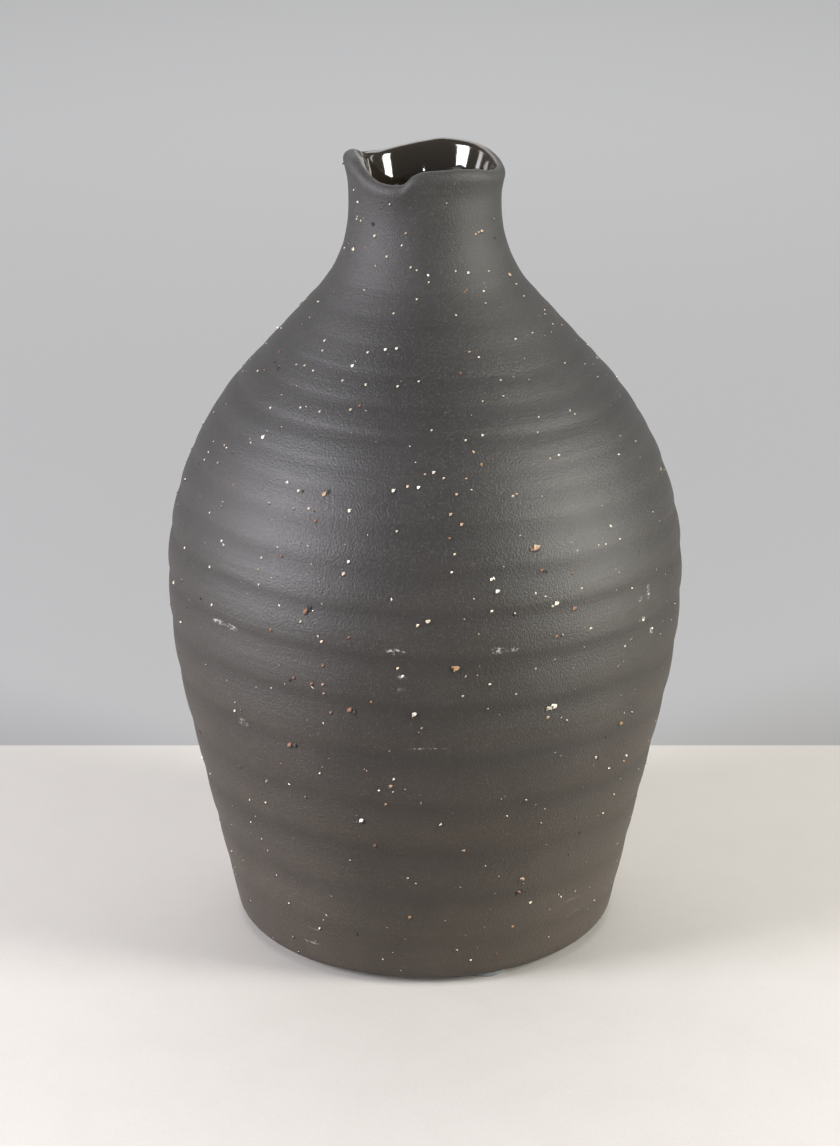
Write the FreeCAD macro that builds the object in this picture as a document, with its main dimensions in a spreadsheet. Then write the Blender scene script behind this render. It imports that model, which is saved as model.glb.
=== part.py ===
"""A hand-thrown stoneware vase, as a parametric document, in millimetres.

The vase is one piece of fired clay: a narrow neck over a wide shoulder, a wall of even
thickness drawn up on the wheel, and a flat foot with a worn round edge. It stands on three thin
round pads stuck under the foot. The origin is on the surface it stands on, on the wheel's axis,
with +Z up; the front of the vase faces -Y, and +X is on the right of someone looking at it.

The wall's section is a sketch of lines and tangent arcs, bound to the sheet. Two things are laid
over it when it is spun. The potter's fingers leave throwing rings outside, which lie closer and
closer towards the neck: each is a short flare out of a crease and a long taper up to the next one.
And the rolled lip isn't level: there the wall is one smooth surface through sections that rise and
fall round the rim. Between the lip and the round of the foot the wall is spun from straight runs,
which follow the sketch's arcs closely and keep the mesh of so large a thin wall small.
"""
import FreeCAD, Part
import math
import os

import Sketcher
from FreeCAD import Placement, Rotation, Vector

# The driving dimensions: alias, value in millimetres or degrees, and what it is.
SIZES = (
    ("height", 275.5, "from the underside of the foot to the mean top of the lip"),
    ("wall", 6.0, "thickness of the clay, foot to lip"),
    ("foot_radius", 69.3, "outermost reach of the rounded edge of the foot"),
    ("foot_round", 4.5, "round of the foot's lower edge"),
    ("flank_length", 83.0, "straight stretch between the foot and the belly's arc"),
    ("belly_radius", 91.2, "widest reach of the wall"),
    ("belly_height", 130.0, "height of the widest place"),
    ("slope_length", 37.0, "straight stretch between the shoulder's arc and the neck's"),
    ("neck_radius", 26.1, "narrowest reach of the neck, outside"),
    ("neck_drop", 13.5, "from the mean top of the lip down to the narrowest place"),
    ("neck_curve", 46.0, "radius of the hollow arc that turns the shoulder into the neck"),
    ("floor_thickness", 9.0, "clay under the bottom of the hollow"),
    ("floor_round", 24.0, "round between the hollow's bottom and its wall"),
    ("ring_depth", 0.55, "crest to crease of a throwing ring"),
    ("ring_pitch_foot", 24.75, "from crease to crease at the foot"),
    ("ring_pitch_lip", 4.0, "from crease to crease at the lip"),
    ("ring_start", 19.4, "height of the lowest crease"),
    ("lip_reach", 29.5, "how far down the neck the uneven lip pulls the wall"),
    ("lip_rise_front", 2.4, "lip above its mean height, straight in front"),
    ("lip_rise_front_right", 2.0, "the same, 45 degrees round to the right"),
    ("lip_rise_right", -0.2, "the same, on the right"),
    ("lip_rise_back_right", 3.2, "the same, 135 degrees round to the right"),
    ("lip_rise_back", 2.9, "the same, at the back"),
    ("lip_rise_back_left", 0.2, "the same, 135 degrees round to the left"),
    ("lip_rise_left", 4.8, "the same, on the left"),
    ("lip_rise_front_left", -2.0, "the same, 45 degrees round to the left"),
    ("pad_radius", 9.0, "radius of a pad"),
    ("pad_thickness", 1.5, "thickness of a pad"),
    ("pad_overhang", 1.5, "how far a pad's edge stands out past the flat of the foot"),
    ("pad_turn", 21.0, "degrees from the front to the first pad, towards +X"),
)
PAD_COUNT = 3
# The lip's heights are given at even steps round the rim, from the front towards +X.
LIP_ORDER = ("front", "front_right", "right", "back_right", "back", "back_left", "left", "front_left")
# The uneven lip's layout: sections round the rim, and rows down the neck and over the rolled edge.
LIP_SECTIONS = 32
NECK_ROWS = 2
ROLL_ROWS = 6
# A throwing ring: the share of its pitch that flares, and of its depth that stands proud.
RING_FLARE = 0.25
RING_PROUD = 0.45
# Straight runs round the bottom of the hollow, and rings to one run of the inner wall.
FLOOR_RUNS = 3
RINGS_TO_RUN = 2
# How close two faces' edges have to lie to be one edge.
SEAM = 0.01


def add_sheet(doc):
    """Write the driving dimensions into a spreadsheet, one aliased cell to a size."""
    sheet = doc.addObject("Spreadsheet::Sheet", "sizes")
    for row, (alias, value, note) in enumerate(SIZES, start=1):
        sheet.set(f"A{row}", note)
        sheet.set(f"B{row}", str(value))
        sheet.setAlias(f"B{row}", alias)
    doc.recompute()
    return sheet


class Outline:
    """Centres, radii and joining angles of the outer arcs, worked out so that they run smoothly on.

    A straight stretch of a given length between two arcs fixes the radius of the arc that is not
    given. The angles are those of the outward normal, where one arc or line hands over to the next.
    """

    def __init__(self, size):
        self.foot = Vector(size.foot_radius - size.foot_round, size.foot_round)
        self.neck = Vector(size.neck_radius + size.neck_curve, size.height - size.neck_drop)
        round_, curve = float(size.foot_round), float(size.neck_curve)

        out, up = size.belly_radius - self.foot.x, size.belly_height - self.foot.y
        self.flank_radius = (out**2 + up**2 - round_**2 - size.flank_length**2) / (2 * (out - round_))
        self.flank = Vector(size.belly_radius - self.flank_radius, size.belly_height)
        self.flank_angle = self.normal(self.flank, self.foot, self.flank_radius - round_, 1)

        out, up = size.belly_radius - size.neck_radius, self.neck.y - size.belly_height
        both = (out**2 + up**2 - size.slope_length**2) / (2 * out)
        self.shoulder_radius = both - curve
        self.shoulder = Vector(size.belly_radius - self.shoulder_radius, size.belly_height)
        self.slope_angle = self.normal(self.shoulder, self.neck, both, -1)

        half = size.wall / 2
        rise = (size.neck_drop - half) / (curve + half)
        self.lip_angle = math.asin(rise)
        self.lip = self.neck + Vector(-(curve + half) * math.cos(self.lip_angle), (curve + half) * rise)
        below = size.lip_reach - size.neck_drop
        self.band_angle = math.asin(below / curve)
        self.inner_band_angle = math.asin(below / (curve + size.wall))

    @staticmethod
    def normal(first, second, reach, side):
        """Angle of the outward normal of the straight stretch that touches two arcs."""
        along = second - first
        return math.atan2(along.y, along.x) + side * math.acos(reach / along.Length)


class WallSection:
    """The half section of the wall: an open chain from the foot's underside to the hollow's bottom.

    Sketch X is the distance from the wheel's axis and sketch Y the height above the foot's
    underside. The inner chain runs at the wall's thickness from the outer one, with its centres.
    """

    START, END, CENTRE = 1, 2, 3

    def __init__(self, doc, sheet):
        self.sketch = doc.addObject("Sketcher::SketchObject", "wall_section")
        self.sketch.Placement = Placement(Vector(), Rotation(Vector(1, 0, 0), 90))
        self.sheet = sheet
        self.outline = Outline(sheet)
        self.draw_outside()
        self.draw_inside()
        doc.recompute()

    def add_arc(self, centre, radius, low, high):
        """Add an arc drawn anticlockwise between two angles in radians; return its index."""
        circle = Part.Circle(centre, Vector(0, 0, 1), radius)
        return self.sketch.addGeometry(Part.ArcOfCircle(circle, low, high))

    def add_line(self, start, end):
        """Add a line between two drawn ends, each a curve's index and its end; return its index."""
        return self.sketch.addGeometry(
            Part.LineSegment(self.sketch.getPoint(*start), self.sketch.getPoint(*end))
        )

    def hold(self, kind, *where, bind=None):
        """Add a constraint; bind gives the expression of its value from the sheet."""
        if bind is None:
            self.sketch.addConstraint(Sketcher.Constraint(kind, *where))
            return
        value = float(self.sketch.evalExpression(bind))
        number = self.sketch.addConstraint(Sketcher.Constraint(kind, *where, value))
        self.sketch.setExpression(f"Constraints[{number}]", bind)

    def hold_centre(self, arc, across, up):
        """Hold an arc's centre at expressions for its distance from the axis and its height."""
        self.hold("DistanceX", -1, 1, arc, self.CENTRE, bind=across)
        self.hold("DistanceY", -1, 1, arc, self.CENTRE, bind=up)

    def draw_outside(self):
        """Foot's round, straight flank, belly, shoulder, slope, neck and the full-round lip."""
        size, line = self.sheet, self.outline
        start, end, down, half_turn = self.START, self.END, -math.pi / 2, math.pi
        self.foot_arc = self.add_arc(line.foot, float(size.foot_round), down, line.flank_angle)
        self.flank_arc = self.add_arc(line.flank, line.flank_radius, line.flank_angle, 0)
        self.flank = self.add_line((self.foot_arc, end), (self.flank_arc, start))
        self.shoulder_arc = self.add_arc(line.shoulder, line.shoulder_radius, 0, line.slope_angle)
        curve = float(size.neck_curve)
        self.collar_arc = self.add_arc(
            line.neck, curve, half_turn + line.band_angle, half_turn + line.slope_angle
        )
        self.neck_arc = self.add_arc(
            line.neck, curve, half_turn - line.lip_angle, half_turn + line.band_angle
        )
        self.slope = self.add_line((self.shoulder_arc, end), (self.collar_arc, end))
        self.lip_arc = self.add_arc(line.lip, size.wall / 2, -line.lip_angle, half_turn - line.lip_angle)

        self.hold("Radius", self.foot_arc, bind="sizes.foot_round")
        self.hold_centre(self.foot_arc, "sizes.foot_radius - sizes.foot_round", "sizes.foot_round")
        self.hold("Vertical", self.foot_arc, start, self.foot_arc, self.CENTRE)
        self.hold("Tangent", self.foot_arc, end, self.flank, start)
        self.hold("Distance", self.flank, bind="sizes.flank_length")
        self.hold("Tangent", self.flank, end, self.flank_arc, start)
        self.hold("DistanceX", -1, 1, self.flank_arc, end, bind="sizes.belly_radius")
        self.hold("DistanceY", -1, 1, self.flank_arc, end, bind="sizes.belly_height")
        self.hold("Horizontal", self.flank_arc, end, self.flank_arc, self.CENTRE)
        self.hold("Tangent", self.flank_arc, end, self.shoulder_arc, start)
        self.hold("Tangent", self.shoulder_arc, end, self.slope, start)
        self.hold("Distance", self.slope, bind="sizes.slope_length")
        self.hold("Tangent", self.slope, end, self.collar_arc, end)
        self.hold("Radius", self.collar_arc, bind="sizes.neck_curve")
        self.hold_centre(
            self.collar_arc, "sizes.neck_radius + sizes.neck_curve", "sizes.height - sizes.neck_drop"
        )
        self.hold("Tangent", self.collar_arc, start, self.neck_arc, end)
        self.hold("Radius", self.neck_arc, bind="sizes.neck_curve")
        self.hold("DistanceY", -1, 1, self.neck_arc, end, bind="sizes.height - sizes.lip_reach")
        self.hold("Radius", self.lip_arc, bind="sizes.wall / 2")
        self.hold("Tangent", self.neck_arc, start, self.lip_arc, start)
        self.hold("DistanceY", -1, 1, self.lip_arc, self.CENTRE, bind="sizes.height - sizes.wall / 2")

    def draw_inside(self):
        """The same chain at the wall's thickness, down to the round and the bottom of the hollow."""
        size, line = self.sheet, self.outline
        start, end, down, half_turn = self.START, self.END, -math.pi / 2, math.pi
        wall, bottom = float(size.wall), float(size.floor_round)
        curve = size.neck_curve + wall
        self.inner_neck = self.add_arc(
            line.neck, curve, half_turn - line.lip_angle, half_turn + line.inner_band_angle
        )
        self.inner_collar = self.add_arc(
            line.neck, curve, half_turn + line.inner_band_angle, half_turn + line.slope_angle
        )
        self.inner_shoulder = self.add_arc(
            line.shoulder, line.shoulder_radius - wall, 0, line.slope_angle
        )
        self.inner_slope = self.add_line((self.inner_collar, end), (self.inner_shoulder, end))
        self.inner_flank_arc = self.add_arc(line.flank, line.flank_radius - wall, line.flank_angle, 0)
        height = size.floor_thickness + bottom
        reach = line.flank_radius - wall - bottom
        across = line.flank.x + (reach - (height - line.flank.y) * math.sin(line.flank_angle)) / math.cos(
            line.flank_angle
        )
        self.floor_arc = self.add_arc(Vector(across, height), bottom, down, line.flank_angle)
        self.inner_flank = self.add_line((self.inner_flank_arc, start), (self.floor_arc, end))

        self.hold("Coincident", self.inner_neck, self.CENTRE, self.collar_arc, self.CENTRE)
        self.hold("Tangent", self.lip_arc, end, self.inner_neck, start)
        self.hold("DistanceY", -1, 1, self.inner_neck, end, bind="sizes.height - sizes.lip_reach")
        self.hold("Coincident", self.inner_neck, end, self.inner_collar, start)
        self.hold("Coincident", self.inner_collar, self.CENTRE, self.collar_arc, self.CENTRE)
        self.hold("Coincident", self.inner_shoulder, self.CENTRE, self.shoulder_arc, self.CENTRE)
        self.hold("Tangent", self.inner_collar, end, self.inner_slope, start)
        self.hold("Tangent", self.inner_slope, end, self.inner_shoulder, end)
        self.hold("Coincident", self.inner_flank_arc, self.CENTRE, self.flank_arc, self.CENTRE)
        self.hold("DistanceX", -1, 1, self.inner_shoulder, start, bind="sizes.belly_radius - sizes.wall")
        self.hold("Tangent", self.inner_shoulder, start, self.inner_flank_arc, end)
        self.hold("Tangent", self.inner_flank_arc, start, self.inner_flank, start)
        self.hold("Parallel", self.inner_flank, self.flank)
        self.hold("Tangent", self.inner_flank, end, self.floor_arc, end)
        self.hold("Radius", self.floor_arc, bind="sizes.floor_round")
        self.hold("Vertical", self.floor_arc, start, self.floor_arc, self.CENTRE)
        self.hold("DistanceY", -1, 1, self.floor_arc, start, bind="sizes.floor_thickness")

    def curve(self, index):
        """A curve of the sketch, stood up in the plane y = 0 with X across and Z up."""
        edge = self.sketch.Geometry[index].toShape()
        edge.rotate(Vector(), Vector(1, 0, 0), 90)
        return edge

    def point(self, height, inside=False):
        """A point of the wall's smooth face at a height between foot and lip, in the plane y = 0."""
        outer = (self.flank, self.flank_arc, self.shoulder_arc, self.slope, self.collar_arc)
        inner = (self.inner_flank, self.inner_flank_arc, self.inner_shoulder, self.inner_slope,
                 self.inner_collar)
        for index in inner if inside else outer:
            piece = self.sketch.Geometry[index]
            low, high = sorted((piece.StartPoint.y, piece.EndPoint.y))
            if not low <= height <= high:
                continue
            if isinstance(piece, Part.LineSegment):
                part = (height - piece.StartPoint.y) / (piece.EndPoint.y - piece.StartPoint.y)
                return Vector(piece.StartPoint.x + part * (piece.EndPoint.x - piece.StartPoint.x), 0, height)
            half_chord = math.sqrt(piece.Radius**2 - (height - piece.Center.y) ** 2)
            side = piece.StartPoint.x - piece.Center.x
            return Vector(piece.Center.x + math.copysign(half_chord, side), 0, height)
        raise ValueError(f"no wall at {height}")


def ease(value):
    """A smooth step from 0 to 1 as the value goes from 0 to 1."""
    value = min(1.0, max(0.0, value))
    return value * value * (3 - 2 * value)


def spin(edge):
    """The face that an edge sweeps round the wheel's axis."""
    return edge.revolve(Vector(), Vector(0, 0, 1), 360)


def crease_heights(size):
    """Heights of the creases between the throwing rings, whose pitch shrinks evenly with height."""
    first, top = float(size.ring_pitch_foot), size.height - size.lip_reach
    shrink = (first - size.ring_pitch_lip) / size.height
    heights = []
    height = float(size.ring_start)
    while height < top - size.ring_pitch_lip:
        heights.append(height)
        height = (first - (first - shrink * height) * math.exp(-shrink)) / shrink
    return heights


def spin_runs(points):
    """The faces that straight runs through points in the plane y = 0 sweep round the axis."""
    return [spin(Part.LineSegment(low, high).toShape()) for low, high in zip(points, points[1:])]


def outer_faces(section, size):
    """The outside from the foot's round to the lip: a flare and a taper for each throwing ring."""
    heights = crease_heights(size)
    end = section.curve(section.neck_arc).lastVertex().Point
    proud, deep = size.ring_depth * RING_PROUD, size.ring_depth * (1 - RING_PROUD)
    points = [section.curve(section.flank).firstVertex().Point]
    for height, above in zip(heights, heights[1:] + [end.z]):
        points.append(section.point(height) - Vector(deep, 0, 0))
        crest = section.point(height + RING_FLARE * (above - height))
        points.append(crest + Vector(proud, 0, 0))
    points.append(end)
    return spin_runs(points)


def inner_faces(section, size):
    """The inside from the hollow's bottom to the lip, at the wall's thickness from the outside."""
    points = section.curve(section.floor_arc).discretize(FLOOR_RUNS + 1)
    end = section.curve(section.inner_neck).lastVertex().Point
    heights = [height for height in crease_heights(size) if height > points[-1].z + size.wall]
    points += [section.point(height, inside=True) for height in heights[::RINGS_TO_RUN]]
    points.append(end)
    return spin_runs(points)


class UnevenLip:
    """The top of the neck: the rolled edge, which rises and falls round the rim."""

    def __init__(self, section, size):
        self.section = section
        self.size = size
        self.rises = [float(getattr(size, "lip_rise_" + name)) for name in LIP_ORDER]

    def rise(self, angle):
        """How far the lip stands above its mean height at an angle from the front in radians."""
        place = angle / (2 * math.pi) * len(self.rises) % len(self.rises)
        before = int(place)
        after = (before + 1) % len(self.rises)
        return self.rises[before] + (self.rises[after] - self.rises[before]) * ease(place - before)

    def chain(self):
        """Points up the outside of the neck, over the rolled edge and down the inside."""
        section = self.section
        parts = (
            (section.neck_arc, NECK_ROWS, True),
            (section.lip_arc, ROLL_ROWS, False),
            (section.inner_neck, NECK_ROWS, False),
        )
        points = []
        for index, rows, backwards in parts:
            found = section.curve(index).discretize(rows + 1)
            found = found[::-1] if backwards else found
            points += found[1:] if points else found
        return points

    def stand(self, point, angle):
        """Turn a point of the section round the axis and lift it by its share of the lip's rise."""
        share = ease((point.z - self.size.height + self.size.lip_reach) / self.size.lip_reach)
        height = point.z + share * self.rise(angle)
        return Vector(point.x * math.sin(angle), -point.x * math.cos(angle), height)

    def face(self):
        """One surface through every section's points, closed round the axis.

        It starts at +X, a quarter turn from the front, where the spun faces have their seams.
        """
        chain = self.chain()
        angles = [2 * math.pi * (number / LIP_SECTIONS + 0.25) for number in range(LIP_SECTIONS)]
        around = [number / LIP_SECTIONS for number in range(LIP_SECTIONS + 1)]
        rings = []
        for point in chain:
            ring = Part.BSplineCurve()
            ring.interpolate(
                Points=[self.stand(point, angle) for angle in angles], Parameters=around, PeriodicFlag=True
            )
            rings.append(ring)
        along = [0.0]
        for before, after in zip(chain, chain[1:]):
            along.append(along[-1] + before.distanceToPoint(after))
        strands = []
        for column in zip(*(ring.getPoles() for ring in rings)):
            strand = Part.BSplineCurve()
            strand.interpolate(Points=list(column), Parameters=along)
            strands.append(strand)
        ring, strand = rings[0], strands[0]
        surface = Part.BSplineSurface()
        surface.buildFromPolesMultsKnots(
            [one.getPoles() for one in strands],
            ring.getMultiplicities(), strand.getMultiplicities(), ring.getKnots(), strand.getKnots(),
            True, False, ring.Degree, strand.Degree,
        )
        return surface.toShape()


def flat_disc(edge):
    """The flat face inside the circle that the start of an edge sweeps round the axis."""
    start = edge.firstVertex().Point
    circle = Part.Circle(Vector(0, 0, start.z), Vector(0, 0, 1), start.x)
    return Part.Face(Part.Wire([circle.toShape()]))


def close_wall(section, size):
    """Join the clay's faces into one solid, from the flat of the foot to the hollow's bottom."""
    foot, bottom = section.curve(section.foot_arc), section.curve(section.floor_arc)
    faces = [flat_disc(foot), spin(foot)]
    faces += outer_faces(section, size)
    faces.append(UnevenLip(section, size).face())
    faces += inner_faces(section, size)
    faces.append(flat_disc(bottom))
    joined = faces[0].generalFuse(faces[1:], SEAM)[0]
    shell = Part.Shell(joined.Faces)
    shell.sewShape()
    solid = Part.Solid(shell)
    if solid.Volume < 0:
        solid.reverse()
    return solid


def add_vase(doc, sheet):
    """The vase itself, standing on its pads."""
    vase = doc.addObject("Part::Feature", "vase_body")
    vase.Label = "vase_body"
    vase.Shape = close_wall(WallSection(doc, sheet), sheet)
    vase.Placement = Placement(Vector(0, 0, sheet.pad_thickness), Rotation())
    vase.setExpression("Placement.Base.z", "sizes.pad_thickness")
    return vase


def add_pad(doc, sheet, number):
    """A thin round pad under the foot, whose edge shows a little under the foot's round."""
    name = f"foot_pad_{number + 1}"
    body = doc.addObject("PartDesign::Body", name)
    body.Label = name
    plane = next(item for item in body.Origin.OriginFeatures if item.Role == "XY_Plane")
    sketch = body.newObject("Sketcher::SketchObject", name + "_outline")
    sketch.AttachmentSupport = [(plane, "")]
    sketch.MapMode = "FlatFace"
    sketch.addGeometry(Part.Circle(Vector(), Vector(0, 0, 1), float(sheet.pad_radius)))
    sketch.addConstraint(Sketcher.Constraint("Coincident", 0, 3, -1, 1))
    radius = sketch.addConstraint(Sketcher.Constraint("Radius", 0, float(sheet.pad_radius)))
    sketch.setExpression(f"Constraints[{radius}]", "sizes.pad_radius")
    pad = body.newObject("PartDesign::Pad", name + "_disc")
    pad.Profile = sketch
    pad.setExpression("Length", "sizes.pad_thickness")
    reach = "(sizes.foot_radius - sizes.foot_round + sizes.pad_overhang - sizes.pad_radius)"
    turn = f"(sizes.pad_turn + {360 * number / PAD_COUNT})"
    body.setExpression("Placement.Base.x", f"{reach} * sin({turn} * 1 deg)")
    body.setExpression("Placement.Base.y", f"-{reach} * cos({turn} * 1 deg)")
    return body


def write(pieces):
    """Check that every object computed and every piece is sound, then write the pieces."""
    for item in pieces[0].Document.Objects:
        if "Invalid" in item.State or "Error" in item.State:
            raise RuntimeError(f"{item.Name} did not compute: {item.State}")
    for piece in pieces:
        if piece.Shape.isNull() or not piece.Shape.isValid():
            raise RuntimeError(f"{piece.Label} is not a sound shape")
    os.makedirs("parts", exist_ok=True)
    for piece in pieces:
        piece.Shape.exportStep(f"parts/{piece.Label}.step")
        box = piece.Shape.BoundBox
        print(f"{piece.Label}: {piece.Shape.Volume / 1000:.2f} cm3, "
              f"{box.XLength:.1f} x {box.YLength:.1f} x {box.ZLength:.1f} mm, bottom {box.ZMin:.2f}")


def main():
    """Build the vase and its pads and write them."""
    doc = FreeCAD.newDocument("thrown_vase")
    sheet = add_sheet(doc)
    pieces = [add_vase(doc, sheet)]
    pieces += [add_pad(doc, sheet, number) for number in range(PAD_COUNT)]
    doc.recompute()
    write(pieces)


main()
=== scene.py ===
"""A hand-thrown dark stoneware vase on a pale table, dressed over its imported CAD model.

The clay wall is a spun mesh whose throwing rings, uneven lip and pulled neck are laid on by a
Geometry Nodes tree. A second tree seats the grog, the coarse grains that show in the clay. Sizes
are in metres, in the CAD's frame: +Z up the wheel's axis, the front of the vase faces -Y.
"""
import logging
import math
from dataclasses import dataclass, field
from enum import Enum
from typing import Any, Union

import bpy
import numpy as np
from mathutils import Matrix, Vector
from mathutils.bvhtree import BVHTree


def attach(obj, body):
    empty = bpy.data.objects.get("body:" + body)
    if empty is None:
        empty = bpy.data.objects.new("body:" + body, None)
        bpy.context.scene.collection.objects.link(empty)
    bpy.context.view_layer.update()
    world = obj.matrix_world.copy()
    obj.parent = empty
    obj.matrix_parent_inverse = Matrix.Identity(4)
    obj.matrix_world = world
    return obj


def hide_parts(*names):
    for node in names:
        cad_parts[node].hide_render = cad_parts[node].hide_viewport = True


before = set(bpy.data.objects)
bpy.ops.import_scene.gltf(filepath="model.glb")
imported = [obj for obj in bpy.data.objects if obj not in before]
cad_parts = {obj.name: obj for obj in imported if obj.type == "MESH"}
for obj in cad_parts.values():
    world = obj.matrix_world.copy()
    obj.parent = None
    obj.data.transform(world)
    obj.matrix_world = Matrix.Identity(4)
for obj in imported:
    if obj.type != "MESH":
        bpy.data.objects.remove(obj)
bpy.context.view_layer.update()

MM = 0.001
LOG = logging.getLogger("vase")

Value = Union["Wire", int, float, tuple, str, bpy.types.Material]


class Wire:
    """An output socket that takes part in Python arithmetic and adds Math nodes as it does."""

    def __init__(self, net: "Net", socket: bpy.types.NodeSocket) -> None:
        """Keep the socket and the net that it belongs to."""
        self.net = net
        self.socket = socket

    def __add__(self, other: Value) -> "Wire":
        """Sum."""
        return self.net.maths("ADD", self, other)

    __radd__ = __add__

    def __mul__(self, other: Value) -> "Wire":
        """Product."""
        return self.net.maths("MULTIPLY", self, other)

    __rmul__ = __mul__

    def __sub__(self, other: Value) -> "Wire":
        """Difference."""
        return self.net.maths("SUBTRACT", self, other)

    def __rsub__(self, other: Value) -> "Wire":
        """Difference from a number."""
        return self.net.maths("SUBTRACT", other, self)

    def __truediv__(self, other: Value) -> "Wire":
        """Quotient."""
        return self.net.maths("DIVIDE", self, other)

    def __rtruediv__(self, other: Value) -> "Wire":
        """Quotient of a number by this."""
        return self.net.maths("DIVIDE", other, self)

    def __pow__(self, other: Value) -> "Wire":
        """Power."""
        return self.net.maths("POWER", self, other)

    def __rpow__(self, other: Value) -> "Wire":
        """Power of a number."""
        return self.net.maths("POWER", other, self)

    def __neg__(self) -> "Wire":
        """Negative."""
        return self.net.maths("MULTIPLY", self, -1.0)


class Made:
    """A node just added, whose outputs are read by name or identifier."""

    def __init__(self, net: "Net", node: bpy.types.Node) -> None:
        """Keep the node and its net."""
        self.net = net
        self.node = node

    def __getitem__(self, name: str) -> Wire:
        """The output of that identifier, or else of that name."""
        return Wire(self.net, find_socket(self.node.outputs, name))


def find_socket(sockets: Any, name: str) -> bpy.types.NodeSocket:
    """Find one of a node's sockets.

    Args:
        sockets: The node's inputs or outputs.
        name: The socket's identifier or its shown name.

    Returns:
        The socket of that identifier, or else the first of that name.
    """
    for socket in sockets:
        if socket.identifier == name:
            return socket
    for socket in sockets:
        if socket.name == name:
            return socket
    raise KeyError(f"no socket {name!r} among {[one.identifier for one in sockets]}")


class Net:
    """A node tree, shader or geometry, to which nodes are added in one way."""

    def __init__(self, tree: bpy.types.NodeTree) -> None:
        """Start on an emptied tree."""
        self.tree = tree
        tree.nodes.clear()

    def add(self, kind: str, settings: dict[str, Any] | None = None,
            values: dict[str, Value] | None = None) -> Made:
        """Add a node.

        Args:
            kind: The node's type, such as ShaderNodeTexNoise.
            settings: Its own settings, set first; "stops" are a ramp's (place, colour) pairs.
            values: The value or the link of each socket, by identifier or name.

        Returns:
            The node, whose outputs are read by name.
        """
        node = self.tree.nodes.new(kind)
        for name, setting in (settings or {}).items():
            if name == "stops":
                self.set_stops(node.color_ramp, setting)
            else:
                setattr(node, name, setting)
        for name, value in (values or {}).items():
            self.feed(find_socket(node.inputs, name), value)
        return Made(self, node)

    @staticmethod
    def set_stops(ramp: bpy.types.ColorRamp, stops: list[tuple[float, tuple]]) -> None:
        """Give a ramp its stops.

        Args:
            ramp: The ramp to change.
            stops: Pairs of a place from 0 to 1 and a colour.
        """
        while len(ramp.elements) < len(stops):
            ramp.elements.new(1.0)
        for element, (place, colour) in zip(ramp.elements, stops):
            element.position = place
            element.color = (*colour, 1.0)

    def feed(self, socket: bpy.types.NodeSocket, value: Value) -> None:
        """Link a wire to an input socket or set the socket's own value.

        Args:
            socket: The input socket.
            value: The wire or the value.
        """
        if isinstance(value, Wire):
            self.tree.links.new(value.socket, socket)
        elif isinstance(value, tuple) and len(value) == 3 and socket.type == "RGBA":
            socket.default_value = (*value, 1.0)
        else:
            socket.default_value = value

    def maths(self, operation: str, *values: Value, clamp: bool = False) -> Wire:
        """Work out numbers with a Math node.

        Args:
            operation: The node's operation.
            values: What goes into it, in order.
            clamp: Whether the result is held between 0 and 1.

        Returns:
            The result.
        """
        inputs = dict(zip(("Value", "Value_001", "Value_002"), values))
        made = self.add("ShaderNodeMath", {"operation": operation, "use_clamp": clamp}, inputs)
        return made["Value"]

    def clamp(self, value: Wire) -> Wire:
        """Hold a number between 0 and 1."""
        return self.maths("ADD", value, 0.0, clamp=True)

    def step(self, value: Wire, low: Value, high: Value) -> Wire:
        """A smooth step from 0 to 1 as the value goes from low to high, which may be the lower one."""
        share = self.clamp((value - low) / (high - low))
        return share * share * (3 - 2 * share)

    def vector(self, operation: str, *values: Value, output: str = "Vector") -> Wire:
        """Work out vectors with a Vector Math node."""
        inputs = dict(zip(("Vector", "Vector_001", "Vector_002"), values))
        return self.add("ShaderNodeVectorMath", {"operation": operation}, inputs)[output]

    def scale(self, vector: Wire, factor: Value) -> Wire:
        """A vector times a number."""
        made = self.add("ShaderNodeVectorMath", {"operation": "SCALE"}, {"Vector": vector, "Scale": factor})
        return made["Vector"]

    def mix(self, share: Value, first: Value, second: Value, blend: str = "MIX") -> Wire:
        """Blend two colours by a share from 0 to 1.

        Args:
            share: How much of the second colour there is.
            first: The first colour.
            second: The second colour.
            blend: How they blend.

        Returns:
            The colour.
        """
        settings = {"data_type": "RGBA", "blend_type": blend}
        values = {"Factor_Float": share, "A_Color": first, "B_Color": second}
        return self.add("ShaderNodeMix", settings, values)["Result_Color"]

    def tint(self, shade: Value, by: Value) -> Wire:
        """A colour times another."""
        return self.mix(1.0, shade, by, blend="MULTIPLY")

    def noise(self, vector: Wire, scale: Union[float, tuple], detail: float, roughness: float) -> Wire:
        """A noise pattern, as a number from 0 to 1.

        Args:
            vector: Where the pattern is read.
            scale: How often it repeats in a metre, or how often along each axis.
            detail: How many finer layers it has.
            roughness: How strong they are.

        Returns:
            The number.
        """
        if isinstance(scale, tuple):
            vector, scale = self.vector("MULTIPLY", vector, scale), 1.0
        values = {"Vector": vector, "Scale": scale, "Detail": detail, "Roughness": roughness}
        return self.add("ShaderNodeTexNoise", {"noise_dimensions": "3D"}, values)["Fac"]

    def bump(self, height: Wire, strength: float, distance: float) -> Wire:
        """The normal over a relief."""
        values = {"Height": height, "Strength": strength, "Distance": distance}
        return self.add("ShaderNodeBump", None, values)["Normal"]

    def surface(self, values: dict[str, Value]) -> Wire:
        """A shader with those values."""
        return self.add("ShaderNodeBsdfPrincipled", None, values)["BSDF"]

    def show(self, surface: Wire) -> None:
        """Give a shader to the material."""
        self.add("ShaderNodeOutputMaterial", None, {"Surface": surface})

    def split(self, vector: Wire) -> tuple[Wire, Wire, Wire]:
        """The three components of a vector."""
        made = self.add("ShaderNodeSeparateXYZ", None, {"Vector": vector})
        return made["X"], made["Y"], made["Z"]

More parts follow.
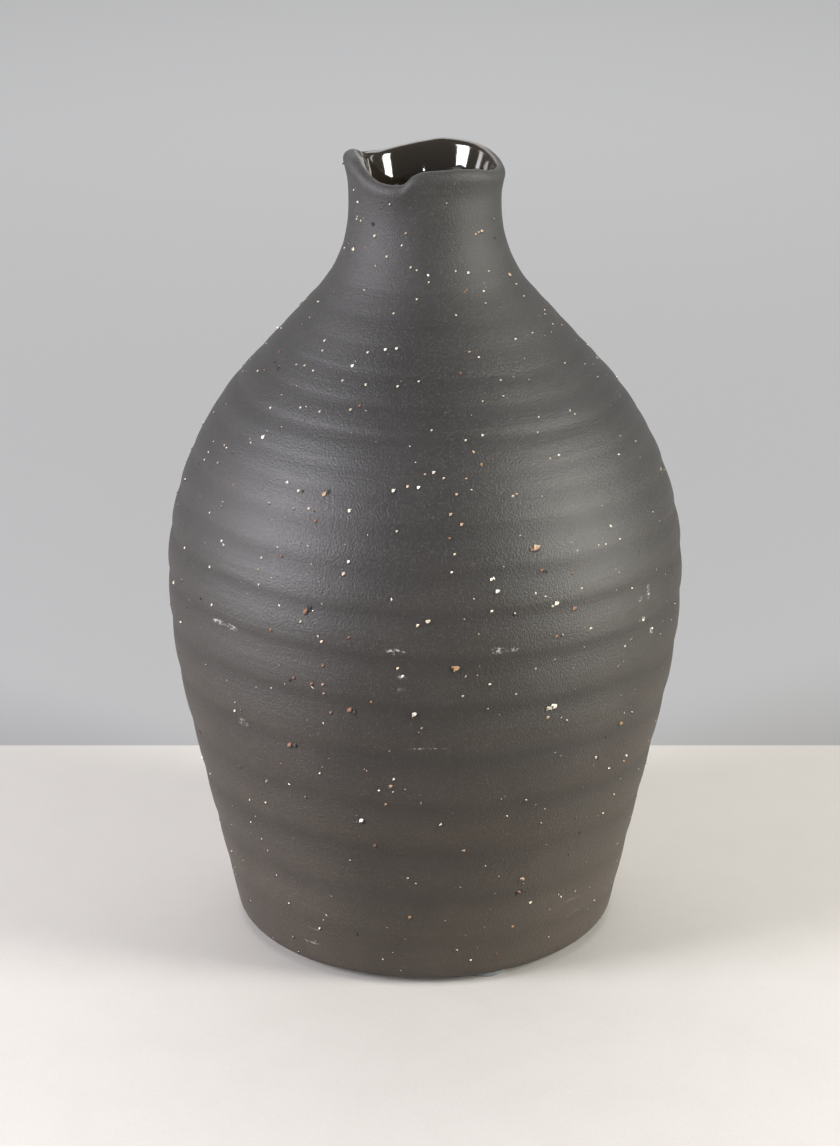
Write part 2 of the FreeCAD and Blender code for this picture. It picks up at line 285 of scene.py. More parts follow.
    def attribute(self, name: str) -> Wire:
        """A mesh attribute that a shader reads as a number."""
        return self.add("ShaderNodeAttribute", {"attribute_name": name})["Fac"]

    def named(self, name: str, data: str = "FLOAT") -> Wire:
        """A value that a geometry carries."""
        made = self.add("GeometryNodeInputNamedAttribute", {"data_type": data}, {"Name": name})
        return made["Attribute"]

    def keep(self, geometry: Wire, name: str, value: Value, data: str = "FLOAT") -> Wire:
        """Store a value on a geometry's points.

        Args:
            geometry: The geometry.
            name: The attribute's name.
            value: Its value.
            data: Its data type.

        Returns:
            The geometry with it.
        """
        settings = {"data_type": data, "domain": "POINT"}
        values = {"Geometry": geometry, "Name": name, "Value": value}
        return self.add("GeometryNodeStoreNamedAttribute", settings, values)["Geometry"]

    def move(self, geometry: Wire, offset: Wire) -> Wire:
        """Shift a geometry's points."""
        values = {"Geometry": geometry, "Offset": offset}
        return self.add("GeometryNodeSetPosition", None, values)["Geometry"]


@dataclass(frozen=True)
class Outline:
    """The section of the wall, as the CAD part has it: tangent lines and arcs."""

    stand: float = 1.5 * MM
    height: float = 275.5 * MM
    wall: float = 6.0 * MM
    foot_radius: float = 69.3 * MM
    foot_round: float = 4.5 * MM
    flank_length: float = 83.0 * MM
    belly_radius: float = 91.2 * MM
    belly_height: float = 130.0 * MM
    slope_length: float = 37.0 * MM
    neck_radius: float = 26.1 * MM
    neck_drop: float = 13.5 * MM
    neck_curve: float = 46.0 * MM
    floor_thickness: float = 9.0 * MM
    floor_round: float = 24.0 * MM
    fine_step: float = 1.0 * MM
    coarse_step: float = 5.0 * MM
    round_step: float = 0.7 * MM

    def foot(self) -> complex:
        """Centre of the foot's round, as distance from the axis + height j."""
        return complex(self.foot_radius - self.foot_round, self.foot_round)

    def neck(self) -> complex:
        """Centre of the hollow arc of the neck."""
        return complex(self.neck_radius + self.neck_curve, self.height - self.neck_drop)

    def flank(self) -> tuple[complex, float, float]:
        """Centre, radius and first normal angle of the arc that turns the flank into the belly.

        Returns:
            The centre, the radius and the angle.
        """
        span = complex(self.belly_radius, self.belly_height) - self.foot()
        square = abs(span) ** 2 - self.foot_round**2 - self.flank_length**2
        radius = square / (2 * (span.real - self.foot_round))
        centre = complex(self.belly_radius - radius, self.belly_height)
        along = self.foot() - centre
        angle = math.atan2(along.imag, along.real) + math.acos((radius - self.foot_round) / abs(along))
        return centre, radius, angle

    def shoulder(self) -> tuple[complex, float, float]:
        """Centre, radius and last normal angle of the shoulder's arc.

        Returns:
            The centre, the radius and the angle.
        """
        out = self.belly_radius - self.neck_radius
        rise = self.neck().imag - self.belly_height
        both = (out**2 + rise**2 - self.slope_length**2) / (2 * out)
        radius = both - self.neck_curve
        centre = complex(self.belly_radius - radius, self.belly_height)
        along = self.neck() - centre
        return centre, radius, math.atan2(along.imag, along.real) - math.acos(both / abs(along))

    def lip(self) -> tuple[complex, float]:
        """Centre of the rolled lip and the angle at which the neck hands over to it.

        Returns:
            The centre and the angle.
        """
        half = self.wall / 2
        angle = math.asin((self.neck_drop - half) / (self.neck_curve + half))
        reach = self.neck_curve + half
        return self.neck() + complex(-reach * math.cos(angle), reach * math.sin(angle)), angle

    @staticmethod
    def arc(centre: complex, radius: float, start: float, end: float, step: float) -> list[complex]:
        """Points along an arc.

        Args:
            centre: The arc's centre.
            radius: Its radius.
            start: Its first angle.
            end: Its last angle.
            step: The longest way between points.

        Returns:
            The points, both ends among them.
        """
        count = max(2, math.ceil(abs(end - start) * radius / step))
        angles = [start + (end - start) * number / count for number in range(count + 1)]
        return [centre + radius * complex(math.cos(angle), math.sin(angle)) for angle in angles]

    @staticmethod
    def run(start: complex, end: complex, step: float) -> list[complex]:
        """Points between two places, without the places themselves."""
        count = max(2, math.ceil(abs(end - start) / step))
        return [start + (end - start) * number / count for number in range(1, count)]

    def outside(self) -> list[complex]:
        """Points from the foot's underside up to the lip.

        Returns:
            The points.
        """
        flank, flank_radius, flank_angle = self.flank()
        shoulder, shoulder_radius, slope_angle = self.shoulder()
        lip, lip_angle = self.lip()
        step = self.fine_step
        foot = self.arc(self.foot(), self.foot_round, -math.pi / 2, flank_angle, self.round_step)
        low = self.arc(flank, flank_radius, flank_angle, 0.0, step)
        high = self.arc(shoulder, shoulder_radius, 0.0, slope_angle, step)
        neck = self.arc(self.neck(), self.neck_curve, math.pi + slope_angle, math.pi - lip_angle, step)
        roll = self.arc(lip, self.wall / 2, -lip_angle, math.pi / 2, self.round_step)
        points = foot + self.run(foot[-1], low[0], step) + low + high[1:]
        return points + self.run(high[-1], neck[0], step) + neck + roll[1:]

    def inside(self) -> list[complex]:
        """Points from the top of the lip down to the bottom of the hollow.

        Returns:
            The points.
        """
        flank, flank_radius, flank_angle = self.flank()
        shoulder, shoulder_radius, slope_angle = self.shoulder()
        lip, lip_angle = self.lip()
        step = self.coarse_step
        roll = self.arc(lip, self.wall / 2, math.pi / 2, math.pi - lip_angle, self.round_step)
        hollow = self.neck_curve + self.wall
        neck = self.arc(self.neck(), hollow, math.pi - lip_angle, math.pi + slope_angle, 2 * self.fine_step)
        high = self.arc(shoulder, shoulder_radius - self.wall, slope_angle, 0.0, step)
        low = self.arc(flank, flank_radius - self.wall, 0.0, flank_angle, step)
        level = self.floor_thickness + self.floor_round
        reach = flank_radius - self.wall - self.floor_round
        across = reach - (level - flank.imag) * math.sin(flank_angle)
        centre = complex(flank.real + across / math.cos(flank_angle), level)
        floor = self.arc(centre, self.floor_round, flank_angle, -math.pi / 2, step)
        points = roll[1:] + neck[1:] + self.run(neck[-1], high[0], step) + high + low[1:]
        return points + self.run(low[-1], floor[0], step) + floor


@dataclass(frozen=True)
class Camera:
    """The photograph's viewpoint: a long lens a little above the vase, looking down."""

    frame_across: int = 840
    frame_down: int = 1146
    focal_px: float = 2800.0
    sensor: float = 36.0
    pitch: float = math.radians(20.5)
    place: tuple = (-0.0018, -0.938, 0.4795)

    def build(self) -> None:
        """Make the camera and give it to the scene."""
        data = bpy.data.cameras.new("photo_view")
        data.sensor_width = self.sensor
        data.lens = self.focal_px * self.sensor / self.frame_down
        data.clip_start = 0.01
        data.clip_end = 50.0
        camera = bpy.data.objects.new("photo_view", data)
        camera.location = self.place
        camera.rotation_euler = (math.pi / 2 - self.pitch, 0.0, 0.0)
        bpy.context.scene.collection.objects.link(camera)
        bpy.context.scene.camera = camera

    def ray(self, across: float, down: float) -> Vector:
        """The direction in which a place in the 840 x 1146 frame lies.

        Args:
            across: Pixels from the frame's left edge.
            down: Pixels from its top edge.

        Returns:
            A unit vector from the camera.
        """
        right = (across - self.frame_across / 2) / self.focal_px
        up = (self.frame_down / 2 - down) / self.focal_px
        ahead = Vector((0.0, math.cos(self.pitch), -math.sin(self.pitch)))
        above = Vector((0.0, math.sin(self.pitch), math.cos(self.pitch)))
        return (ahead + right * Vector((1.0, 0.0, 0.0)) + up * above).normalized()

    def find(self, shape: BVHTree, across: float, down: float) -> tuple[Vector, Vector]:
        """Find what lies at a place in the frame.

        Args:
            shape: The surface to look at.
            across: Pixels from the frame's left edge.
            down: Pixels from its top edge.

        Returns:
            The point and the normal there.

        Raises:
            ValueError: If nothing lies there.
        """
        place, normal, _, _ = shape.ray_cast(Vector(self.place), self.ray(across, down))
        if place is None:
            raise ValueError(f"nothing lies at {across}, {down}")
        return place, normal


class Tone(Enum):
    """What a grain of grog is: the middle of its share of the grains."""

    # The darkest tone is a near-black fleck: painted shade of a pit and of the shaded side of a grain.
    PIT = 0.05
    RUST = 0.17
    GOLD = 0.28
    TAN = 0.42
    CREAM = 0.65
    WHITE = 0.90


def smooth(value: np.ndarray) -> np.ndarray:
    """A smooth step from 0 to 1 as the values go from 0 to 1."""
    value = np.clip(value, 0.0, 1.0)
    return value * value * (3 - 2 * value)


def signed_degrees(turn: np.ndarray) -> np.ndarray:
    """Angles in degrees, from -180 to 180."""
    return (np.degrees(turn) + 180) % 360 - 180


def surface_of(piece: bpy.types.Object) -> BVHTree:
    """The surface of a piece, for rays to meet."""
    return BVHTree.FromObject(piece, bpy.context.evaluated_depsgraph_get())


def add_object(name: str, mesh: bpy.types.Mesh) -> bpy.types.Object:
    """Stand a mesh in the scene under its name.

    Args:
        name: The piece's name.
        mesh: Its mesh.

    Returns:
        The piece.
    """
    piece = bpy.data.objects.new(name, mesh)
    bpy.context.scene.collection.objects.link(piece)
    return piece


def store(mesh: bpy.types.Mesh, name: str, values: np.ndarray) -> None:
    """Keep a number for each vertex as a mesh attribute."""
    mesh.attributes.new(name, "FLOAT", "POINT").data.foreach_set("value", values.astype(np.float32))


def start_material(name: str) -> tuple[bpy.types.Material, Net, Wire]:
    """Start a material.

    Args:
        name: The material's name.

    Returns:
        The material, its net and the object coordinates.
    """
    material = bpy.data.materials.new(name)
    material.use_nodes = True
    net = Net(material.node_tree)
    return material, net, net.add("ShaderNodeTexCoord")["Object"]


def new_tree(name: str, inputs: dict[str, Any]) -> tuple[bpy.types.NodeTree, Net, Made]:
    """Start a Geometry Nodes tree.

    Args:
        name: The tree's name.
        inputs: Each named input after the geometry, with its value: an object, an int or a float.

    Returns:
        The tree, its net and its group input node.
    """
    tree = bpy.data.node_groups.new(name, "GeometryNodeTree")
    tree.interface.new_socket("Geometry", in_out="INPUT", socket_type="NodeSocketGeometry")
    tree.interface.new_socket("Geometry", in_out="OUTPUT", socket_type="NodeSocketGeometry")
    for label, value in inputs.items():
        kind = "Float" if isinstance(value, float) else "Int" if isinstance(value, int) else "Object"
        tree.interface.new_socket(label, in_out="INPUT", socket_type="NodeSocket" + kind)
    net = Net(tree)
    return tree, net, net.add("NodeGroupInput")


def close_tree(net: Net, geometry: Wire, material: bpy.types.Material) -> None:
    """End a tree in Realize Instances and Set Material.

    Args:
        net: The tree's net.
        geometry: What it has made.
        material: The material to set.
    """
    real = net.add("GeometryNodeRealizeInstances", None, {"Geometry": geometry})["Geometry"]
    done = net.add("GeometryNodeSetMaterial", None, {"Geometry": real, "Material": material})
    net.add("NodeGroupOutput", None, {"Geometry": done["Geometry"]})


def apply_tree(piece: bpy.types.Object, tree: bpy.types.NodeTree, inputs: dict[str, Any]) -> None:
    """Run a tree on a piece and keep its result as a plain mesh.

    Args:
        piece: The piece whose mesh goes in.
        tree: The Geometry Nodes tree.
        inputs: The value of each of its named inputs.
    """
    modifier = piece.modifiers.new(tree.name, "NODES")
    modifier.node_group = tree
    for item in tree.interface.items_tree:
        if item.item_type == "SOCKET" and item.in_out == "INPUT" and item.name in inputs:
            modifier[item.identifier] = inputs[item.name]
    graph = bpy.context.evaluated_depsgraph_get()
    mesh = bpy.data.meshes.new_from_object(piece.evaluated_get(graph), depsgraph=graph)
    piece.modifiers.clear()
    old, piece.data = piece.data, mesh
    mesh.name = piece.name
    bpy.data.meshes.remove(old)


@dataclass(frozen=True)
class Clay:
    """Unglazed black stoneware, fired matte, with a dark glaze where the glaze share is 1."""

    body: tuple = (0.0141, 0.0137, 0.0138)
    brown_and_bounce: tuple = (0.0330, 0.0242, 0.0160)
    crest: tuple = (0.0210, 0.0200, 0.0196)
    dust_and_bounce: tuple = (0.0600, 0.0470, 0.0350)
    fleck: tuple = (0.090, 0.086, 0.082)
    chalk: tuple = (0.300, 0.295, 0.285)
    dull: tuple = (0.72, 0.72, 0.72)
    # Painted shade: the clay's colour is multiplied by this in the creases of the throwing rings.
    crease: tuple = (0.74, 0.73, 0.72)
    glaze: tuple = (0.016, 0.013, 0.009)
    breaking: tuple = (0.030, 0.022, 0.015)
    roughness: float = 0.38
    glaze_roughness: float = 0.05
    # Heights between which the clay browns towards the foot, its own tone with painted warm light from the
    # table in it; gets lighter at the foot, partly dust and partly painted light from the table; and dries at
    # the neck.
    brown_and_bounce_top: float = 0.200
    brown_and_bounce_bottom: float = 0.040
    dust_and_bounce_top: float = 0.062
    dust_and_bounce_bottom: float = 0.016
    dust_and_bounce_share: float = 0.42
    neck_bottom: float = 0.212
    neck_top: float = 0.250
    neck_dry: float = 0.11
    # How strongly each of these shows, and where in its pattern it comes in and is full.
    line_share: float = 0.55
    dull_share: float = 0.7
    dull_range: tuple = (0.62, 0.36)
    fleck_share: float = 0.30
    fleck_range: tuple = (0.50, 0.75)
    # Sparkle: pale specks painted into the colour as glints.
    sparkle_share: float = 0.12
    sparkle_range: tuple = (0.22, 0.10)
    sparkle_choice: tuple = (0.80, 0.90)
    rub_range: tuple = (0.50, 0.60)
    rub_edge: tuple = (1.0, 0.3)
    glaze_range: tuple = (0.42, 0.58)
    glaze_runs: float = 0.12
    # What each pattern is multiplied by, and what is then taken off, to make a share of it.
    crest_fit: tuple = (1.2, 0.35)
    line_fit: tuple = (1.1, 0.28)
    # What the sand, the patches and the ring's crest each add to the roughness.
    rough: tuple = (0.30, 0.10, -0.06)
    # What the throwing lines, the sand and the bands each add to the relief.
    relief: tuple = (0.4, 0.75, 0.4)
    relief_strength: float = 0.6
    relief_depth: float = 0.5 * MM
    # How often each pattern repeats in a metre, along each axis or in all of them.
    lines: tuple = (14.0, 14.0, 620.0)
    bands: tuple = (9.0, 9.0, 130.0)
    drips: tuple = (60.0, 60.0, 25.0)
    rubbed: tuple = (600.0, 600.0, 1000.0)
    sand: float = 1450.0
    patches: float = 22.0
    specks: float = 900.0
    ripples: float = 120.0

    def build(self, scuffs: list[tuple[Vector, Vector, float]]) -> bpy.types.Material:
        """Make the material.

        Args:
            scuffs: Centre, reach along each axis and strength of each chalky rub mark.

        Returns:
            The material, which reads the attributes ring, glaze and breaking.
        """
        material, net, place = start_material("stoneware")
        runs = net.noise(place, self.drips, 2.0, 0.5)
        edge = net.step(net.attribute("glaze") + (runs - 0.5) * self.glaze_runs, *self.glaze_range)
        both = net.add("ShaderNodeMixShader", None, {
            "Fac": edge, "Shader": self.bare(net, place, scuffs), "Shader_001": self.glazed(net, place, runs),
        })
        net.show(both["Shader"])
        return material

    def bare(self, net: Net, place: Wire, scuffs: list[tuple[Vector, Vector, float]]) -> Wire:
        """The shader of the bare clay.

        Args:
            net: The material's net.
            place: Object coordinates.
            scuffs: Centre, reach along each axis and strength of each rub mark.

        Returns:
            The shader.
        """
        _, _, up = net.split(place)
        ring = net.attribute("ring")
        lines = net.noise(place, self.lines, 4.0, 0.65)
        wide = net.noise(place, self.bands, 3.0, 0.6)
        sand = net.noise(place, self.sand, 2.0, 0.6)
        patch = net.noise(place, self.patches, 4.0, 0.6)
        specks = net.add("ShaderNodeTexVoronoi", {"feature": "F1"}, {"Vector": place, "Scale": self.specks})
        few = net.step(net.split(specks["Color"])[0], *self.sparkle_choice)
        sparkle = net.step(specks["Distance"], *self.sparkle_range) * few

        # Browner towards the foot: the clay's own tone with painted warm light thrown up by the table.
        shade = net.mix(net.step(up, self.brown_and_bounce_top, self.brown_and_bounce_bottom), self.body, self.brown_and_bounce)
        gain, less = self.crest_fit
        shade = net.mix(net.clamp(wide * gain - less), shade, self.crest)
        # Lighter and mottled towards the foot: partly dust, partly painted light thrown up by the table.
        dusty_and_bounce = net.step(up, self.dust_and_bounce_top, self.dust_and_bounce_bottom) * (patch + 0.5) * self.dust_and_bounce_share
        shade = net.mix(net.clamp(dusty_and_bounce), shade, self.dust_and_bounce)
        drawn = net.mix(0.5, self.crest, self.brown_and_bounce)
        gain, less = self.line_fit
        shade = net.mix(net.clamp(lines * gain - less) * self.line_share, shade, drawn)
        dulled = net.step(patch, *self.dull_range) * self.dull_share
        shade = net.mix(dulled, shade, net.tint(shade, self.dull))
        shade = net.mix(net.step(sand, *self.fleck_range) * self.fleck_share, shade, self.fleck)
        # Painted glints: pale specks of the chalk colour.
        shade = net.mix(sparkle * self.sparkle_share, shade, self.chalk)
        # Painted shade: darker in the creases of the throwing rings, where the attribute ring is low.
        shade = net.mix(ring, net.tint(shade, self.crease), shade)

        dry = net.step(up, self.neck_bottom, self.neck_top) * self.neck_dry
        by_sand, by_patch, by_ring = self.rough
        rough = dry + sand * by_sand + patch * by_patch + ring * by_ring + self.roughness
        by_lines, by_sand, by_bands = self.relief
        relief = lines * by_lines + sand * by_sand + wide * by_bands
        return net.surface({
            "Base Color": self.rub(net, place, scuffs, shade),
            "Roughness": net.clamp(rough),
            "Normal": net.bump(relief, self.relief_strength, self.relief_depth),
            "Specular IOR Level": 0.42, "IOR": 1.5,
        })

    def glazed(self, net: Net, place: Wire, runs: Wire) -> Wire:
        """The shader of the glaze, which thins and lightens where it breaks over the lip.

        Args:
            net: The material's net.
            place: Object coordinates.
            runs: The pattern in which the glaze ran.

        Returns:
            The shader.
        """
        thin = net.attribute("breaking")
        return net.surface({
            "Base Color": net.mix(net.clamp(thin * (runs * 0.8 + 0.6)), self.glaze, self.breaking),
            "Roughness": net.clamp(thin * 0.45 + self.glaze_roughness),
            "Normal": net.bump(net.noise(place, self.ripples, 2.0, 0.5), 0.25, 0.4 * MM),
            "Specular IOR Level": 0.6, "IOR": 1.52,
        })

    def rub(self, net: Net, place: Wire, scuffs: list[tuple[Vector, Vector, float]], shade: Wire) -> Wire:
        """Lay the chalky rub marks over a colour.

        Args:
            net: The material's net.
            place: Object coordinates.
            scuffs: Centre, reach along each axis and strength of each mark.
            shade: The colour under them.

        Returns:
            The colour with the marks.
        """
        grit = net.step(net.noise(place, self.rubbed, 3.0, 0.8), *self.rub_range)
        for centre, reach, strength in scuffs:
            offset = net.vector("SUBTRACT", place, tuple(centre))
            offset = net.vector("DIVIDE", offset, tuple(reach))
            near = net.step(net.vector("LENGTH", offset, output="Value"), *self.rub_edge)
            shade = net.mix(near * grit * strength, shade, self.chalk)
        return shade


@dataclass(frozen=True)
class GrogFinish:
    """Grains of fired grog: chalk white to rust, and near-black painted shade for the pits where grains fell
    out.
    """

    pit_shade: tuple = (0.006, 0.005, 0.005)
    rust: tuple = (0.190, 0.085, 0.042)
    gold: tuple = (0.300, 0.190, 0.090)
    tan: tuple = (0.420, 0.310, 0.210)
    cream: tuple = (0.600, 0.530, 0.420)
    white: tuple = (0.760, 0.730, 0.650)
    roughness: float = 0.62
    crumbs: float = 1800.0
    stain_share: float = 0.55
    stain_range: tuple = (0.60, 0.40)

    def build(self) -> bpy.types.Material:
        """Make the material.

        Returns:
            The material, which reads the attribute grain_tone.
        """
        material, net, place = start_material("grog")
        stops = [(0.0, self.pit_shade), (0.10, self.rust), (0.24, self.gold), (0.32, self.tan),
                 (0.52, self.cream), (0.80, self.white)]
        tone = net.attribute("grain_tone")
        ramp = net.add("ShaderNodeValToRGB", {"stops": stops}, {"Fac": tone})
        ramp.node.color_ramp.interpolation = "CONSTANT"
        crumb = net.noise(place, self.crumbs, 3.0, 0.7)
        stain = net.step(crumb, *self.stain_range) * self.stain_share
        shade = net.mix(stain, ramp["Color"], self.rust)
        # Painted shade: the darkest tone is near black, for pits and sockets.
        shade = net.mix(net.step(tone, 0.11, 0.10), shade, self.pit_shade)
        net.show(net.surface({
            "Base Color": shade, "Roughness": self.roughness, "Normal": net.bump(crumb, 0.6, 0.2 * MM),
        }))
        return material


@dataclass(frozen=True)
class Felt:
    """Grey pressed wool felt of the pads under the foot."""

    dark: tuple = (0.090, 0.097, 0.099)
    light: tuple = (0.170, 0.182, 0.186)
    roughness: float = 0.92
    fibres: tuple = (1700.0, 1700.0, 4250.0)
    clumps: float = 320.0

    def build(self) -> bpy.types.Material:
        """Make the material.

        Returns:
            The material.
        """
        material, net, place = start_material("felt")
        fibres = net.noise(place, self.fibres, 5.0, 0.75)
        clumps = net.noise(place, self.clumps, 3.0, 0.6)
        net.show(net.surface({
            "Base Color": net.mix(net.clamp(fibres * 1.3 + clumps * 0.6 - 0.45), self.dark, self.light),
            "Roughness": self.roughness, "Normal": net.bump(fibres + clumps, 0.8, 0.3 * MM),
            "Sheen Weight": 0.1, "Sheen Roughness": 0.5,
        }))
        return material


@dataclass(frozen=True)
class Table:
    """The pale table, and the grey paper that lies beyond its back edge."""

    # The table is painted lighter towards the front, from near to front: painted light, as from a lamp in
    # front.
    near: tuple = (0.350, 0.335, 0.315)
    front: tuple = (0.402, 0.387, 0.372)
    speck: tuple = (0.290, 0.275, 0.255)
    far: tuple = (0.232, 0.232, 0.235)
    farthest: tuple = (0.300, 0.301, 0.305)
    front_reach: float = 0.30
    far_reach: float = 1.5
    edge: float = 0.137
    soft: float = 0.0016
    grain: float = 750.0
    grain_share: float = 0.20
    grain_range: tuple = (0.48, 0.70)
    clouds: float = 60.0
    cloud_share: float = 0.12
    cloud_range: tuple = (0.35, 0.75)
    # The table gives back a little light of its own, except under the foot. Beyond the lamps it and
    # the paper glow, so that they stay pale all round.
    lift: tuple = (0.062, 0.058, 0.054)
    unlit: tuple = (0.0, 0.0, 0.0)
    foot_print: float = 0.069
    table_glow: tuple = (0.66, 0.64, 0.62)
    paper_glow: tuple = (0.42, 0.42, 0.425)
    lit_side: float = 0.9
    lit_front: float = 1.1
    lit_back: float = 2.3
    fade: float = 0.6

    def build(self) -> bpy.types.Material:
        """Make the material.

        Returns:
            The material.
        """
        material, net, place = start_material("table_top")
        across, away, _ = net.split(place)
        past_edge = net.step(away, self.edge, self.edge + self.soft)
        # Painted light: the table gets lighter towards the front.
        near = net.mix(net.step(away, self.edge, -self.front_reach), self.near, self.front)
        clouds = net.step(net.noise(place, self.clouds, 4.0, 0.6), *self.cloud_range)
        grain = net.step(net.noise(place, self.grain, 3.0, 0.7), *self.grain_range)
        near = net.mix(clouds * self.cloud_share + grain * self.grain_share, near, self.speck)
        far = net.mix(net.step(away, self.edge, self.far_reach), self.far, self.farthest)

        from_foot = net.vector("LENGTH", place, output="Value")
        clear = net.step(from_foot, self.foot_print - self.soft, self.foot_print + self.soft)
        lift = net.mix(past_edge, net.mix(clear, self.unlit, self.lift), self.unlit)
        beyond = 1 - (
            net.step(net.maths("ABSOLUTE", across), self.lit_side + self.fade, self.lit_side)
            * net.step(away, -self.lit_front - self.fade, -self.lit_front)
            * net.step(away, self.lit_back + self.fade, self.lit_back)
        )
        glow = net.mix(past_edge, self.table_glow, self.paper_glow)
        net.show(net.surface({
            "Base Color": net.mix(past_edge, near, far), "Roughness": 0.9, "Specular IOR Level": 0.2,
            "Emission Color": net.mix(beyond, lift, glow), "Emission Strength": 1.0,
        }))
        return material


@dataclass(frozen=True)
class Lamp:
    """A rectangular soft lamp: its name, its middle, the point it faces, its size, power and colour."""

    name: str
    place: tuple
    aim: tuple
    size: tuple
    watts: float
    colour: tuple = (1.0, 1.0, 1.0)

    def hang(self) -> None:
        """Hang the lamp in the scene."""
        data = bpy.data.lights.new(self.name, "AREA")
        data.shape = "RECTANGLE"
        data.size, data.size_y = self.size
        data.energy = self.watts
        data.color = self.colour
        lamp = bpy.data.objects.new(self.name, data)
        lamp.location = self.place
        lamp.rotation_euler = (Vector(self.aim) - Vector(self.place)).to_track_quat("-Z", "Y").to_euler()
        bpy.context.scene.collection.objects.link(lamp)


LAMPS = (
    Lamp("left_softbox", (-1.25, -0.50, 0.55), (0.0, 0.0, 0.16), (0.50, 1.00), 49.0, (0.955, 0.942, 1.0)),
    Lamp("right_softbox", (1.25, -0.42, 0.50), (0.0, 0.0, 0.15), (0.40, 1.20), 47.0, (1.0, 0.985, 0.91)),
    Lamp("back_lamp", (0.0, 1.9, 1.9), (0.0, 1.6, 0.0), (3.2, 2.2), 78.0),
    Lamp("left_strip", (-1.25, 0.30, 0.60), (0.0, 0.0, 0.26), (0.14, 0.60), 2.0),
    Lamp("right_strip", (1.10, 0.35, 0.60), (0.0, 0.0, 0.26), (0.12, 0.40), 0.6),
    Lamp("small_lamp", (-0.05, -1.30, 0.62), (0.0, 0.0, 0.26), (0.05, 0.05), 0.5),
)


@dataclass
class Studio:
    """Table, soft lamps and an even surround."""

    table: Table = field(default_factory=Table)
    half_side: float = 60.0
    surround: tuple = (0.99, 0.985, 1.0)
    dim: tuple = (0.34, 0.34, 0.34)
    horizon: float = 0.10
    horizon_strength: float = 0.62
    view: str = "Standard"

    def build(self) -> None:
        """Make the table, the lights and the world."""
        half = self.half_side
        mesh = bpy.data.meshes.new("table")
        mesh.from_pydata([(-half, -half, 0), (half, -half, 0), (half, half, 0), (-half, half, 0)],
                         [], [(0, 1, 2, 3)])
        mesh.materials.append(self.table.build())
        add_object("table", mesh)
        for lamp in LAMPS:
            lamp.hang()
        world = bpy.data.worlds.new("surround")
        world.use_nodes = True
        net = Net(world.node_tree)
        _, _, up = net.split(net.add("ShaderNodeTexCoord")["Generated"])
        band = net.step(up, self.horizon, 0.0)
        shade = net.mix(band, net.tint(self.surround, self.dim), self.surround)
        back = net.add("ShaderNodeBackground", None, {"Color": shade, "Strength": self.horizon_strength})
        net.add("ShaderNodeOutputWorld", None, {"Surface": back["Background"]})
        bpy.context.scene.world = world
        bpy.context.scene.view_settings.view_transform = self.view


